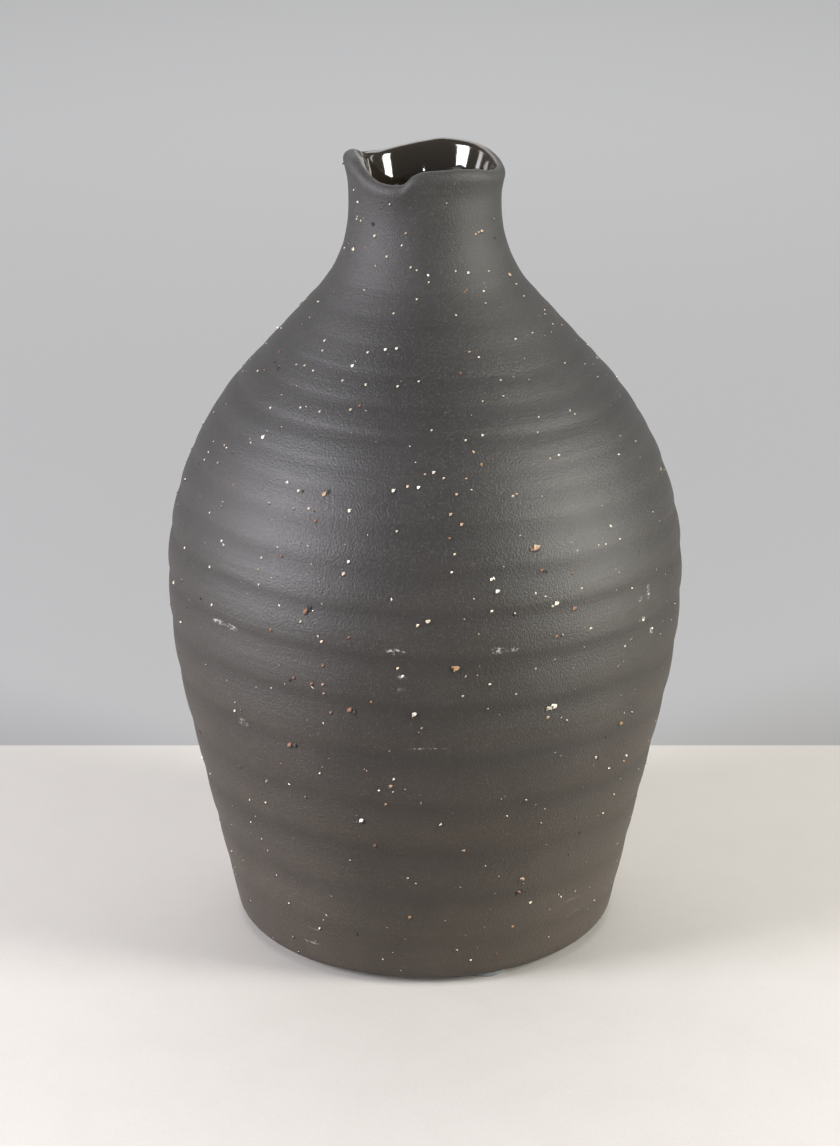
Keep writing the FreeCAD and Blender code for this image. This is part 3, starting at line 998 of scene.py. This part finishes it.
@dataclass
class Wall:
    """The clay wall: a smooth spun body that the tree gives its rings and its uneven lip."""

    outline: Outline = field(default_factory=Outline)
    columns: int = 224
    # Where rows lie under the foot and on the floor inside, as shares of the way out.
    flat_shares: tuple = (0.33, 0.66)
    # Each turn of the spiral crease, from the foot up: its height in front in mm, and how strongly
    # it shows.
    creases: tuple = (
        (16.8, 0.45), (35.2, 0.65), (54.2, 0.80), (73.2, 0.75), (92.8, 0.80), (111.6, 0.90),
        (129.2, 1.00), (144.7, 1.00), (158.0, 0.90), (172.3, 0.75), (182.5, 0.25), (188.6, 0.20),
        (198.6, 0.75), (207.0, 0.50), (215.0, 0.45), (222.4, 0.20), (229.8, 0.35), (238.0, 0.15),
    )
    ring_depth: float = 0.45 * MM
    # The share of a ring's depth that lies below the smooth wall, and the shares of its height in
    # which it rises out of its crease and in which it runs out.
    sunk: float = 0.6
    flare: float = 0.30
    taper: float = 0.50
    # How far a crease strays, as a share of the way to the next, and how far the wall does.
    wander: float = 0.16
    drift: float = 0.7 * MM
    # Where the rings begin above the foot and end below the lip, and how fast they come and go.
    foot_clear: float = 4.0 * MM
    foot_fade: float = 10.0 * MM
    lip_clear: float = 12.0 * MM
    lip_fade: float = 16.0 * MM
    # How often the hand's unevenness repeats in a metre, along each axis or in all of them.
    wandering: tuple = (11.0, 11.0, 9.0)
    swelling: tuple = (14.0, 14.0, 30.0)
    drifting: float = 17.0
    # How deep the rings are where they are weakest, and how much deeper they get.
    faint: float = 0.2
    bold: float = 1.6
    lip_reach: float = 29.5 * MM
    # Round the rim, degrees from the front towards +X: how far the lip stands up and out, in mm,
    # how deep the groove is that a finger left under it, and how far the lip is folded in.
    rim: tuple = (
        (-180, 2.9, 0.0, 0.0, 0.0), (-163, 1.6, 0.0, 0.0, 0.0), (-143, 0.6, 0.0, 0.0, 0.0),
        (-123, 1.3, 0.2, 0.0, 0.0), (-105, 3.4, 0.4, 0.0, 1.5), (-88, 5.0, 0.7, 0.2, 3.2),
        (-72, 4.2, 0.4, 0.3, 3.0), (-60, 2.0, 0.0, 0.2, 1.5), (-48, -0.5, 0.0, 0.0, 0.3),
        (-36, -2.0, 0.2, 0.0, 0.0), (-24, -2.4, 0.2, 0.0, 0.0), (-17, -1.9, 0.0, 0.0, 0.0),
        (-9, 1.2, 0.0, 0.1, 0.0), (0, 2.6, -0.2, 0.2, 0.0), (22, 2.9, -0.2, 0.4, 0.0),
        (41, 2.2, -0.1, 0.4, 0.0), (58, 0.7, 0.0, 0.3, 0.0), (75, -0.1, 0.0, 0.2, 0.0),
        (94, -0.1, 0.0, 0.2, 0.0), (111, 1.3, 0.0, 0.0, 0.0), (127, 2.8, 0.0, 0.0, 0.0),
        (145, 3.7, 0.0, 0.0, 0.0), (165, 3.9, 0.0, 0.0, 0.0),
    )
    groove_below: float = 9.0 * MM
    groove_reach: float = 3.5 * MM
    # The clay thins towards the lip, inside.
    thinning: float = 1.9 * MM
    thinning_reach: float = 15.0 * MM
    fold_reach: float = 9.0 * MM
    # Degrees from the front, and how many rows the glaze comes out over the lip there. Then the
    # rows in which it begins, and in which it stops breaking.
    glaze_over: tuple = ((-180, 2.2), (-120, 2.2), (-90, 0.8), (-62, 1.2), (-48, 0.0), (112, 0.0),
                         (140, 2.2), (180, 2.2))
    glaze_fade: float = 5.0
    breaking_fade: float = 2.6
    # No grog is scattered this close to the foot's underside and to the top of the lip.
    grog_margin: float = 2.0 * MM

    def build(self, material: bpy.types.Material) -> bpy.types.Object:
        """Make the wall.

        Args:
            material: The clay's material, which the tree sets.

        Returns:
            The finished piece, a plain mesh.
        """
        piece = add_object("clay_wall", self.spin())
        inputs = {
            "Ring Depth": self.ring_depth, "Flare": self.flare, "Taper": self.taper, "Wander": self.wander,
        }
        apply_tree(piece, self.hand_work(inputs, material), inputs)
        return piece

    def laps(self, heights: np.ndarray) -> np.ndarray:
        """How many turns of the spiral crease lie in front below each height.

        Args:
            heights: The heights, in metres.

        Returns:
            The turns, with their fractions.
        """
        creases = np.array(self.creases)[:, 0] * MM
        below = (heights - creases[0]) / (creases[1] - creases[0])
        above = len(creases) - 1 + (heights - creases[-1]) / (creases[-1] - creases[-2])
        laps = np.interp(heights, creases, np.arange(len(creases)))
        return np.where(heights < creases[0], below, np.where(heights > creases[-1], above, laps))

    def spin(self) -> bpy.types.Mesh:
        """Spin the section into a closed mesh and store what the tree and the finish read.

        Returns:
            The mesh.
        """
        line = self.outline
        outer = line.outside()
        inner = line.inside()
        flat = [complex(share * line.foot().real, 0.0) for share in self.flat_shares]
        bottom = [complex(share * inner[-1].real, inner[-1].imag) for share in self.flat_shares[::-1]]
        chain = np.array(flat + outer + inner + bottom)
        radii, heights = chain.real, chain.imag
        rows = len(chain)
        turn = 2 * math.pi * np.arange(self.columns) / self.columns
        x = radii[:, None] * np.sin(turn)
        y = -radii[:, None] * np.cos(turn)
        z = np.repeat(heights[:, None] + line.stand, self.columns, axis=1)
        points = np.stack([x, y, z], axis=-1).reshape(-1, 3)
        points = np.vstack([points, [[0, 0, line.stand], [0, 0, line.stand + line.floor_thickness]]])

        grid = np.arange(rows * self.columns).reshape(rows, self.columns)
        right = np.roll(grid, -1, axis=1)
        quads = np.stack([grid[:-1], right[:-1], right[1:], grid[1:]], axis=-1).reshape(-1, 4)
        under, top = rows * self.columns, rows * self.columns + 1
        fans = [(under, int(b), int(a)) for a, b in zip(grid[0], right[0])]
        fans += [(top, int(a), int(b)) for a, b in zip(grid[-1], right[-1])]
        mesh = bpy.data.meshes.new("clay_wall")
        mesh.from_pydata(points.tolist(), [], quads.tolist() + fans)
        mesh.polygons.foreach_set("use_smooth", [True] * len(mesh.polygons))

        lip_row = len(flat) + len(outer)
        outside = np.zeros(rows)
        outside[len(flat):lip_row] = 1.0
        clear = (heights > self.grog_margin) * (heights < line.height - self.grog_margin)
        self.store_rows(mesh, "outside", outside)
        self.store_rows(mesh, "laps", self.laps(heights))
        self.store_rows(mesh, "ring_share", self.ring_share(heights) * outside)
        self.store_rows(mesh, "grog_share", outside * clear)
        self.store_glaze(mesh, np.arange(rows) - lip_row, turn)
        lip = line.lip()[0]
        inward = np.clip(0.5 + (lip.real - radii) / line.wall, 0.0, 1.0)
        inner_share = np.where(heights > lip.imag, inward, 1 - outside)
        self.store_rim(mesh, heights, turn, inner_share)
        return mesh

    def store_rows(self, mesh: bpy.types.Mesh, name: str, rows: np.ndarray) -> None:
        """Keep one number for each row of the wall."""
        store(mesh, name, np.append(np.repeat(rows, self.columns), (rows[0], rows[-1])))

    def ring_share(self, heights: np.ndarray) -> np.ndarray:
        """How strongly the rings show at each height.

        Args:
            heights: The heights, in metres.

        Returns:
            Shares from 0 to 1.
        """
        strengths = np.array(self.creases)[:, 1]
        strength = np.interp(self.laps(heights), np.arange(len(strengths)), strengths)
        below = smooth((heights - self.foot_clear) / self.foot_fade)
        return strength * below * smooth((self.outline.height - self.lip_clear - heights) / self.lip_fade)

    def store_glaze(self, mesh: bpy.types.Mesh, past: np.ndarray, turn: np.ndarray) -> None:
        """Store where the glaze lies and where it breaks over the lip.

        Args:
            mesh: The spun mesh.
            past: How many rows each row lies past the top of the lip, inwards.
            turn: The angle of each column from the front towards +X.
        """
        places, over = np.array(self.glaze_over).T
        rows = past[:, None] + np.interp(signed_degrees(turn), places, over)[None, :]
        glaze = np.clip(0.5 + rows / self.glaze_fade, 0.0, 1.0)
        breaking = np.exp(-np.maximum(rows, 0) / self.breaking_fade)
        store(mesh, "glaze", np.append(glaze.ravel(), (0.0, 1.0)))
        store(mesh, "breaking", np.append(breaking.ravel(), (0.0, 0.0)))

    def store_rim(self, mesh: bpy.types.Mesh, heights: np.ndarray, turn: np.ndarray,
                  inner: np.ndarray) -> None:
        """Store how far each vertex of the neck is lifted and pushed out.

        Args:
            mesh: The spun mesh.
            heights: The height of each row.
            turn: The angle of each column from the front towards +X.
            inner: For each row, 0 outside and 1 inside, and between them on the lip.
        """
        angles, *columns = np.array(self.rim).T
        lap = np.concatenate([angles - 360, angles, angles + 360])
        degrees = signed_degrees(turn)
        lift, push, groove, fold = (
            self.interpolate(lap, np.tile(values, 3), degrees)[None, :] * MM for values in columns
        )
        top = self.outline.height
        share = smooth((heights - top + self.lip_reach) / self.lip_reach)[:, None]
        under = np.exp(-(((heights - top + self.groove_below) / self.groove_reach) ** 2)) * (1 - inner)
        thin = self.thinning * smooth((heights - top + self.thinning_reach) / self.thinning_reach)
        folded = smooth((heights - top + self.fold_reach) / self.fold_reach)
        out = share**3 * push - under[:, None] * groove + (thin * inner)[:, None]
        out -= (folded * inner)[:, None] * fold
        for name, values in (("lip_lift", share * lift), ("lip_push", out)):
            store(mesh, name, np.append(values.ravel(), (0.0, 0.0)))

    @staticmethod
    def interpolate(places: np.ndarray, values: np.ndarray, wanted: np.ndarray) -> np.ndarray:
        """Run smoothly through values without overshooting between them.

        Args:
            places: Where the values stand, in rising order.
            values: The values.
            wanted: The places at which they are wanted.

        Returns:
            The values of a monotone cubic there.
        """
        gaps = np.diff(places)
        slopes = np.diff(values) / gaps
        both = np.maximum(slopes[:-1] * slopes[1:], 0.0)
        total = slopes[:-1] + slopes[1:]
        bends = np.zeros(len(places))
        bends[1:-1] = np.where(both > 0, 2 * both / np.where(both > 0, total, 1.0), 0.0)
        before = np.clip(np.searchsorted(places, wanted), 1, len(places) - 1) - 1
        share = (wanted - places[before]) / gaps[before]
        rest = 1 - share
        lean = bends[before] * rest - bends[before + 1] * share
        rise = (values[before + 1] - values[before]) * smooth(share)
        return values[before] + rise + gaps[before] * share * rest * lean

    def hand_work(self, inputs: dict[str, float], material: bpy.types.Material) -> bpy.types.NodeTree:
        """Write the tree that lays the spiral of throwing rings on the wall and shapes its lip.

        Args:
            inputs: The tree's named inputs.
            material: The material that it sets.

        Returns:
            The tree.
        """
        tree, net, given = new_tree("hand_work", inputs)
        place = net.add("GeometryNodeInputPosition")["Position"]
        across, away, _ = net.split(place)

        wander = net.noise(place, self.wandering, 2.0, 0.5) - 0.5
        angle = net.maths("ARCTAN2", across, -away) / (2 * math.pi)
        lap = net.maths("FRACT", net.named("laps") + angle + wander * given["Wander"])
        ring = net.step(lap, 0.0, given["Flare"]) * net.step(lap, 1.0, 1 - given["Taper"])
        swell = net.noise(place, self.swelling, 2.0, 0.5) * self.bold + self.faint
        share = net.named("ring_share")
        drift = (net.noise(place, self.drifting, 2.0, 0.5) - 0.5) * net.named("outside") * self.drift
        out = (ring - self.sunk) * swell * share * given["Ring Depth"] + drift
        normal = net.add("GeometryNodeInputNormal")["Normal"]
        flat = net.vector("NORMALIZE", net.vector("MULTIPLY", place, (1.0, 1.0, 0.0)))
        push = net.vector("ADD", net.scale(normal, out), net.scale(flat, net.named("lip_push")))
        lift = net.add("ShaderNodeCombineXYZ", None, {"Z": net.named("lip_lift")})["Vector"]
        # The attribute ring is low in the creases; the clay's colour is darkened there as painted shade.
        seen = 1 - (1 - ring) * share * net.clamp(swell)
        kept = net.keep(given["Geometry"], "ring", seen)
        close_tree(net, net.move(kept, net.vector("ADD", push, lift)), material)
        return tree


@dataclass(frozen=True)
class Grain:
    """A grain of grog that the photograph shows: its place in the frame, its size and its tone."""

    across: float
    down: float
    size_mm: float = 1.1
    tone: Tone = Tone.CREAM


PIT, RUST, GOLD, TAN, WHITE = Tone.PIT, Tone.RUST, Tone.GOLD, Tone.TAN, Tone.WHITE

# Grains in front, read from the photograph: pixels across and down its frame, then the
# size in mm and the tone where they aren't the usual ones. The order of the rows sets which random
# numbers each grain gets.
FRONT_GRAINS = [Grain(*row) for row in (
    (354, 189, 0.8), (358, 201), (357, 218, 0.8), (361, 220, 0.8), (373, 223, 1.4, PIT), (390, 204, 0.8),
    (402, 245, 0.8), (406, 233, 0.8, TAN), (476, 234, 0.9, TAN), (482, 231, 1.4, TAN), (387, 256, 1.0),
    (375, 235), (345, 247, 0.9), (411, 267, 0.9), (417, 270, 0.8), (456, 271, 0.8), (489, 271, 0.9),
    (510, 275, 1.8, TAN), (524, 296, 0.9), (429, 282, 0.8), (417, 299, 0.8), (394, 313, 0.9),
    (484, 291, 1.0), (486, 303, 0.8), (479, 232, 0.9, TAN), (495, 237, 1.3, PIT), (325, 340),
    (323, 350, 0.9), (386, 349, 1.3, WHITE), (397, 348, 1.2, WHITE), (368, 352, 1.0), (297, 364, 0.9),
    (305, 365, 0.9), (353, 365, 1.4, WHITE), (343, 380), (366, 384, 1.0), (398, 386, 1.0, WHITE),
    (419, 381, 0.9), (280, 351, 1.1, RUST), (278, 368, 1.6, PIT), (265, 369, 1.0, RUST), (271, 407, 1.0),
    (301, 407, 1.0), (320, 411, 1.0), (351, 409), (360, 405, 1.1, RUST), (516, 339, 1.0), (479, 357, 0.9),
    (501, 380, 0.8), (598, 377, 1.0, TAN), (565, 363, 0.9), (585, 364, 0.8), (553, 324, 0.8),
    (562, 325, 0.8), (545, 314, 0.8), (461, 373, 1.0, RUST), (483, 401, 0.9), (575, 414, 0.9),
    (539, 417, 0.8), (264, 436, 1.8, WHITE), (227, 447, 0.9), (251, 442, 0.8), (205, 459, 0.9),
    (218, 462, 0.9, TAN), (234, 484, 1.1, RUST), (299, 490, 1.2), (303, 491, 1.2, PIT),
    (325, 493, 2.0, TAN), (329, 491, 1.5, PIT), (394, 490, 1.5, WHITE), (408, 486),
    (419, 487, 1.4, WHITE), (309, 508, 0.9), (316, 520, 1.3, RUST), (350, 510, 1.4, WHITE),
    (210, 512, 0.9), (222, 540, 1.1, WHITE), (185, 547, 1.0), (210, 566, 1.1, WHITE),
    (282, 555, 1.1, RUST), (262, 557, 0.9), (259, 568, 0.9, TAN), (349, 561, 1.2, WHITE), (344, 573, 1.4),
    (259, 584, 0.9), (212, 604, 1.0, WHITE), (306, 610, 2.0, RUST), (310, 607, 1.8, PIT), (301, 621, 1.0),
    (271, 629, 1.1, RUST), (322, 641, 1.2), (349, 637, 1.0, RUST), (323, 665, 1.1, RUST), (398, 668, 1.0),
    (403, 676, 1.2, WHITE), (294, 677, 1.2, RUST), (290, 679, 1.3, PIT), (312, 683, 1.2, RUST),
    (323, 684, 1.1, TAN), (324, 693, 0.9, TAN), (174, 581, 1.5), (397, 531, 0.9), (432, 430, 0.9),
    (483, 435, 1.1, WHITE), (466, 440, 0.9), (538, 432, 0.8), (559, 455, 1.0, WHITE),
    (434, 472, 1.2, WHITE), (444, 478, 0.9), (457, 494, 1.1, TAN), (517, 494, 1.0, TAN),
    (451, 514, 1.3, TAN), (462, 524, 1.2, TAN), (537, 547, 2.6, TAN), (533, 549, 1.6, RUST),
    (542, 570, 1.3, RUST), (546, 571, 1.4, PIT), (455, 554, 1.0), (450, 538, 1.0, RUST),
    (452, 572, 0.9, WHITE), (492, 579, 1.3, WHITE), (498, 591, 1.7, WHITE), (492, 611, 1.1, WHITE),
    (606, 544, 0.9), (620, 539, 0.9), (557, 603, 1.8, WHITE), (553, 606), (575, 608, 1.8, RUST),
    (582, 588, 0.9), (632, 588, 0.9), (591, 628, 1.1, WHITE), (557, 636, 1.3, RUST), (561, 635, 1.2, PIT),
    (429, 621, 1.5), (418, 625, 1.2), (457, 668, 2.4, GOLD), (453, 667, 1.2, RUST), (490, 684, 1.0),
    (463, 696, 0.9), (516, 694, 0.8), (618, 666, 1.0, RUST), (643, 620, 1.2, WHITE),
    (652, 628, 1.0, WHITE), (625, 646, 0.9), (235, 710, 1.1, WHITE), (331, 712, 1.2, RUST),
    (350, 709, 2.0, RUST), (354, 711, 1.8, PIT), (415, 714, 1.9, WHITE), (422, 728, 0.9, TAN),
    (290, 744, 1.9, RUST), (295, 744, 1.8, PIT), (320, 773, 0.9), (250, 799, 1.0, TAN), (266, 802, 1.0),
    (362, 820, 1.9, WHITE), (357, 820, 1.6, PIT), (386, 804, 1.1, TAN), (394, 779, 1.0, WHITE),
    (391, 786, 1.4, TAN), (375, 845, 1.3, RUST), (408, 878, 0.9), (320, 928), (356, 933, 1.4, PIT),
    (410, 917, 1.3, GOLD), (554, 706, 2.6, WHITE), (549, 708, 1.8), (548, 717, 1.3, TAN),
    (621, 723, 1.6, GOLD), (596, 757, 1.2), (600, 757, 1.3, PIT), (609, 768, 1.1, WHITE),
    (614, 794, 0.9, TAN), (526, 800, 1.0), (603, 813, 0.9), (541, 823, 0.9), (522, 879, 1.9, TAN),
    (519, 892, 1.8, RUST), (523, 890, 1.6, PIT), (594, 900, 1.0, TAN), (457, 950, 1.0, TAN),
)]


@dataclass
class Grog:
    """The grains that show in the clay: those of the photograph, and others all round."""

    fine_per_m2: float = 6200.0
    coarse_per_m2: float = 3000.0
    fine: tuple = (0.52 * MM, 1.30 * MM)
    coarse: tuple = (0.9 * MM, 2.8 * MM)
    # The higher this power is, the fewer of the grains are large.
    few_large: float = 2.6
    # Coarse grains are scattered behind only, because those in front are read from the photograph.
    # They come in between these two places along Y.
    behind: tuple = (-0.010, 0.015)
    front_size: float = 1.12
    # As shares of a grain's length: its thickness, its least width and how much wider it may be.
    flatness: float = 0.45
    narrowest: float = 0.36
    widening: float = 0.50
    # How far a grain may lean, in radians, and how far its corners are shaken along each axis, as
    # shares of its size.
    tilt: float = 0.7
    broken: tuple = (0.20, 0.20, 0.16)
    # A dark chip is sunk beside each grain as painted shade of the socket that it sits in: how far it lies to
    # the side, as shares of the grain's size, and how deep.
    shadow_chip_low: tuple = (-0.35, -0.35, -0.50)
    shadow_chip_high: tuple = (0.35, 0.35, -0.20)
    shadow_chip_depth: float = 0.17
    seed: int = 7

    def build(self, wall: bpy.types.Object, camera: Camera, material: bpy.types.Material) -> bpy.types.Object:
        """Seat the grains on the wall.

        Args:
            wall: The finished clay wall.
            camera: The camera through which the front grains were read.
            material: The grains' material, which the tree sets.

        Returns:
            The piece of all grains, a plain mesh.
        """
        piece = add_object("grog", self.marks(wall, camera))
        inputs = {
            "Wall": wall, "Fine Density": self.fine_per_m2, "Coarse Density": self.coarse_per_m2,
            "Flatness": self.flatness, "Seed": self.seed,
        }
        apply_tree(piece, self.tree(inputs, material), inputs)
        return piece

    def marks(self, wall: bpy.types.Object, camera: Camera) -> bpy.types.Mesh:
        """One vertex for each grain that the photograph shows, where its ray meets the wall.

        Args:
            wall: The finished clay wall.
            camera: The camera of the photograph.

        Returns:
            The mesh, with each grain's size, tone and normal.
        """
        shape = surface_of(wall)
        seen = [(grain, *camera.find(shape, grain.across, grain.down)) for grain in FRONT_GRAINS]
        mesh = bpy.data.meshes.new("grog")
        mesh.from_pydata([tuple(place) for _, place, _ in seen], [], [])
        store(mesh, "grain_size", np.array([grain.size_mm * MM * self.front_size for grain, _, _ in seen]))
        store(mesh, "grain_tone", np.array([grain.tone.value for grain, _, _ in seen]))
        facing = mesh.attributes.new("grain_normal", "FLOAT_VECTOR", "POINT")
        normals = np.array([tuple(normal) for _, _, normal in seen], dtype=np.float32)
        facing.data.foreach_set("vector", normals.ravel())
        return mesh

    def tree(self, inputs: dict[str, Any], material: bpy.types.Material) -> bpy.types.NodeTree:
        """Write the tree that scatters grains over the clay and seats all of them in it.

        Args:
            inputs: The tree's named inputs.
            material: The material that it sets.

        Returns:
            The tree.
        """
        tree, net, given = new_tree("seat_grog", inputs)
        seed = given["Seed"]

        def chance(shift: int) -> Wire:
            """A random number from 0 to 1 for each element."""
            values = {"Min_001": 0.0, "Max_001": 1.0, "Seed": seed + shift}
            return net.add("FunctionNodeRandomValue", {"data_type": "FLOAT"}, values)["Value_001"]

        def toss(low: tuple, high: tuple, shift: int) -> Wire:
            """A random vector for each element."""
            values = {"Min": low, "Max": high, "Seed": seed + shift}
            return net.add("FunctionNodeRandomValue", {"data_type": "FLOAT_VECTOR"}, values)["Value"]

        def join(parts: list[Wire]) -> Wire:
            """The parts as one geometry.

            Args:
                parts: The parts, in the order in which they are joined.

            Returns:
                The geometry.
            """
            joined = net.add("GeometryNodeJoinGeometry")
            for part in parts:
                net.feed(joined.node.inputs["Geometry"], part)
            return joined["Geometry"]

        info = net.add("GeometryNodeObjectInfo", {"transform_space": "ORIGINAL"}, {"Object": given["Wall"]})
        away = net.split(net.add("GeometryNodeInputPosition")["Position"])[1]
        marks = {"Mesh": given["Geometry"]}
        parts = [net.add("GeometryNodeMeshToPoints", {"mode": "VERTICES"}, marks)["Points"]]
        layers = (
            (given["Fine Density"], 1.0, self.fine, 3),
            (given["Coarse Density"], net.step(away, *self.behind), self.coarse, 11),
        )
        for density, where, (small, large), shift in layers:
            made = net.add("GeometryNodeDistributePointsOnFaces", {"distribute_method": "RANDOM"}, {
                "Mesh": info["Geometry"], "Density": density * net.named("grog_share") * where,
                "Seed": seed + shift,
            })
            size = chance(shift + 1) ** self.few_large * (large - small) + small
            points = net.keep(made["Points"], "grain_size", size)
            points = net.keep(points, "grain_tone", chance(shift + 2))
            parts.append(net.keep(points, "grain_normal", made["Normal"], "FLOAT_VECTOR"))
        grains = join(parts)

        size = net.named("grain_size")
        normal = net.named("grain_normal", "FLOAT_VECTOR")
        # Painted shade: a near-black chip, sunk beside each grain, for the shade of its socket.
        shadow_chips = net.move(grains, net.scale(toss(self.shadow_chip_low, self.shadow_chip_high, 41), size))
        shadow_chips = net.keep(shadow_chips, "grain_tone", 0.0)
        shadow_chips = net.move(shadow_chips, net.scale(normal, size * -self.shadow_chip_depth))

        ball = net.add("GeometryNodeMeshIcoSphere", None, {"Radius": 0.5, "Subdivisions": 1})["Mesh"]
        turned = net.add("FunctionNodeAlignRotationToVector", {"axis": "Z"}, {"Vector": normal})["Rotation"]
        spin = net.add("ShaderNodeCombineXYZ", None, {
            "X": chance(21) * self.tilt, "Y": chance(22) * self.tilt, "Z": chance(23) * 2 * math.pi,
        })["Vector"]
        spin = net.add("FunctionNodeEulerToRotation", None, {"Euler": spin})["Rotation"]
        spun = net.add("FunctionNodeRotateRotation", {"rotation_space": "LOCAL"}, {
            "Rotation": turned, "Rotate By": spin,
        })["Rotation"]
        shape = net.add("ShaderNodeCombineXYZ", None, {
            "X": size, "Y": size * (chance(24) * self.widening + self.narrowest),
            "Z": size * given["Flatness"],
        })["Vector"]
        seated = net.add("GeometryNodeInstanceOnPoints", None, {
            "Points": join([grains, shadow_chips]), "Instance": ball, "Rotation": spun, "Scale": shape,
        })["Instances"]
        real = net.add("GeometryNodeRealizeInstances", None, {"Geometry": seated})["Geometry"]
        shake = toss(tuple(-reach for reach in self.broken), self.broken, 31)
        close_tree(net, net.move(real, net.scale(shake, size)), material)
        return tree


@dataclass(frozen=True)
class Scuff:
    """A chalky rub mark: its place in the frame, its reach along x, y, z and its strength."""

    across: float
    down: float
    reach_mm: tuple
    strength: float


# Rub marks, read from the photograph in the same way.
SCUFFS = [Scuff(*row) for row in (
    (218, 621, (4.0, 6.0, 1.3), 0.9), (231, 627, (3.0, 5.0, 1.4), 0.9), (395, 652, (4.6, 5.0, 1.4), 1.0),
    (401, 678, (2.4, 4.0, 1.6), 0.7), (497, 651, (4.0, 5.0, 1.5), 0.9), (513, 650, (3.0, 5.0, 1.0), 0.9),
    (648, 592, (1.0, 6.0, 3.2), 1.0), (640, 599, (1.4, 6.0, 1.2), 0.8), (643, 619, (2.2, 6.0, 1.4), 0.9),
    (651, 630, (1.0, 6.0, 2.6), 0.9), (243, 722, (3.0, 5.0, 2.0), 0.5), (427, 749, (9.0, 4.0, 0.5), 0.6),
    (311, 942, (5.0, 4.0, 0.8), 0.5), (400, 690, (2.0, 4.0, 1.0), 0.4), (572, 899, (6.0, 6.0, 0.9), 0.22),
    (578, 909, (5.0, 6.0, 0.8), 0.25), (566, 917, (6.0, 6.0, 0.7), 0.20),
    (318, 930, (9.0, 5.0, 0.5), 0.20),
)]


def scuff_places(camera: Camera, wall: bpy.types.Object) -> list[tuple[Vector, Vector, float]]:
    """Find the chalky marks on the wall.

    Args:
        camera: The camera through which they were read.
        wall: The clay wall.

    Returns:
        Centre, reach along each axis and strength of each mark.
    """
    shape = surface_of(wall)
    return [
        (camera.find(shape, scuff.across, scuff.down)[0], Vector(scuff.reach_mm) * MM, scuff.strength)
        for scuff in SCUFFS
    ]


def dress(piece: bpy.types.Object, material: bpy.types.Material) -> None:
    """Give a piece one material."""
    piece.data.materials.clear()
    piece.data.materials.append(material)


def main() -> None:
    """Build the scene and report each piece."""
    logging.basicConfig(level=logging.INFO, format="%(name)s: %(message)s")
    camera = Camera()
    camera.build()
    Studio().build()
    LOG.info("camera, table and lights are up")

    # The rub marks are found on the finished wall, so its material comes after its shape.
    wall = Wall().build(bpy.data.materials.new("bare"))
    dress(wall, Clay().build(scuff_places(camera, wall)))
    LOG.info("clay wall: %d faces", len(wall.data.polygons))
    grog = Grog().build(wall, camera, GrogFinish().build())
    LOG.info("grog: %d faces", len(grog.data.polygons))

    for piece in (wall, grog):
        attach(piece, "root")
    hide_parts("vase_body")
    felt = Felt().build()
    for name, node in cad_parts.items():
        if name.startswith("foot_pad"):
            dress(node, felt)
    LOG.info("pads dressed")


if __name__ == "__main__":
    main()
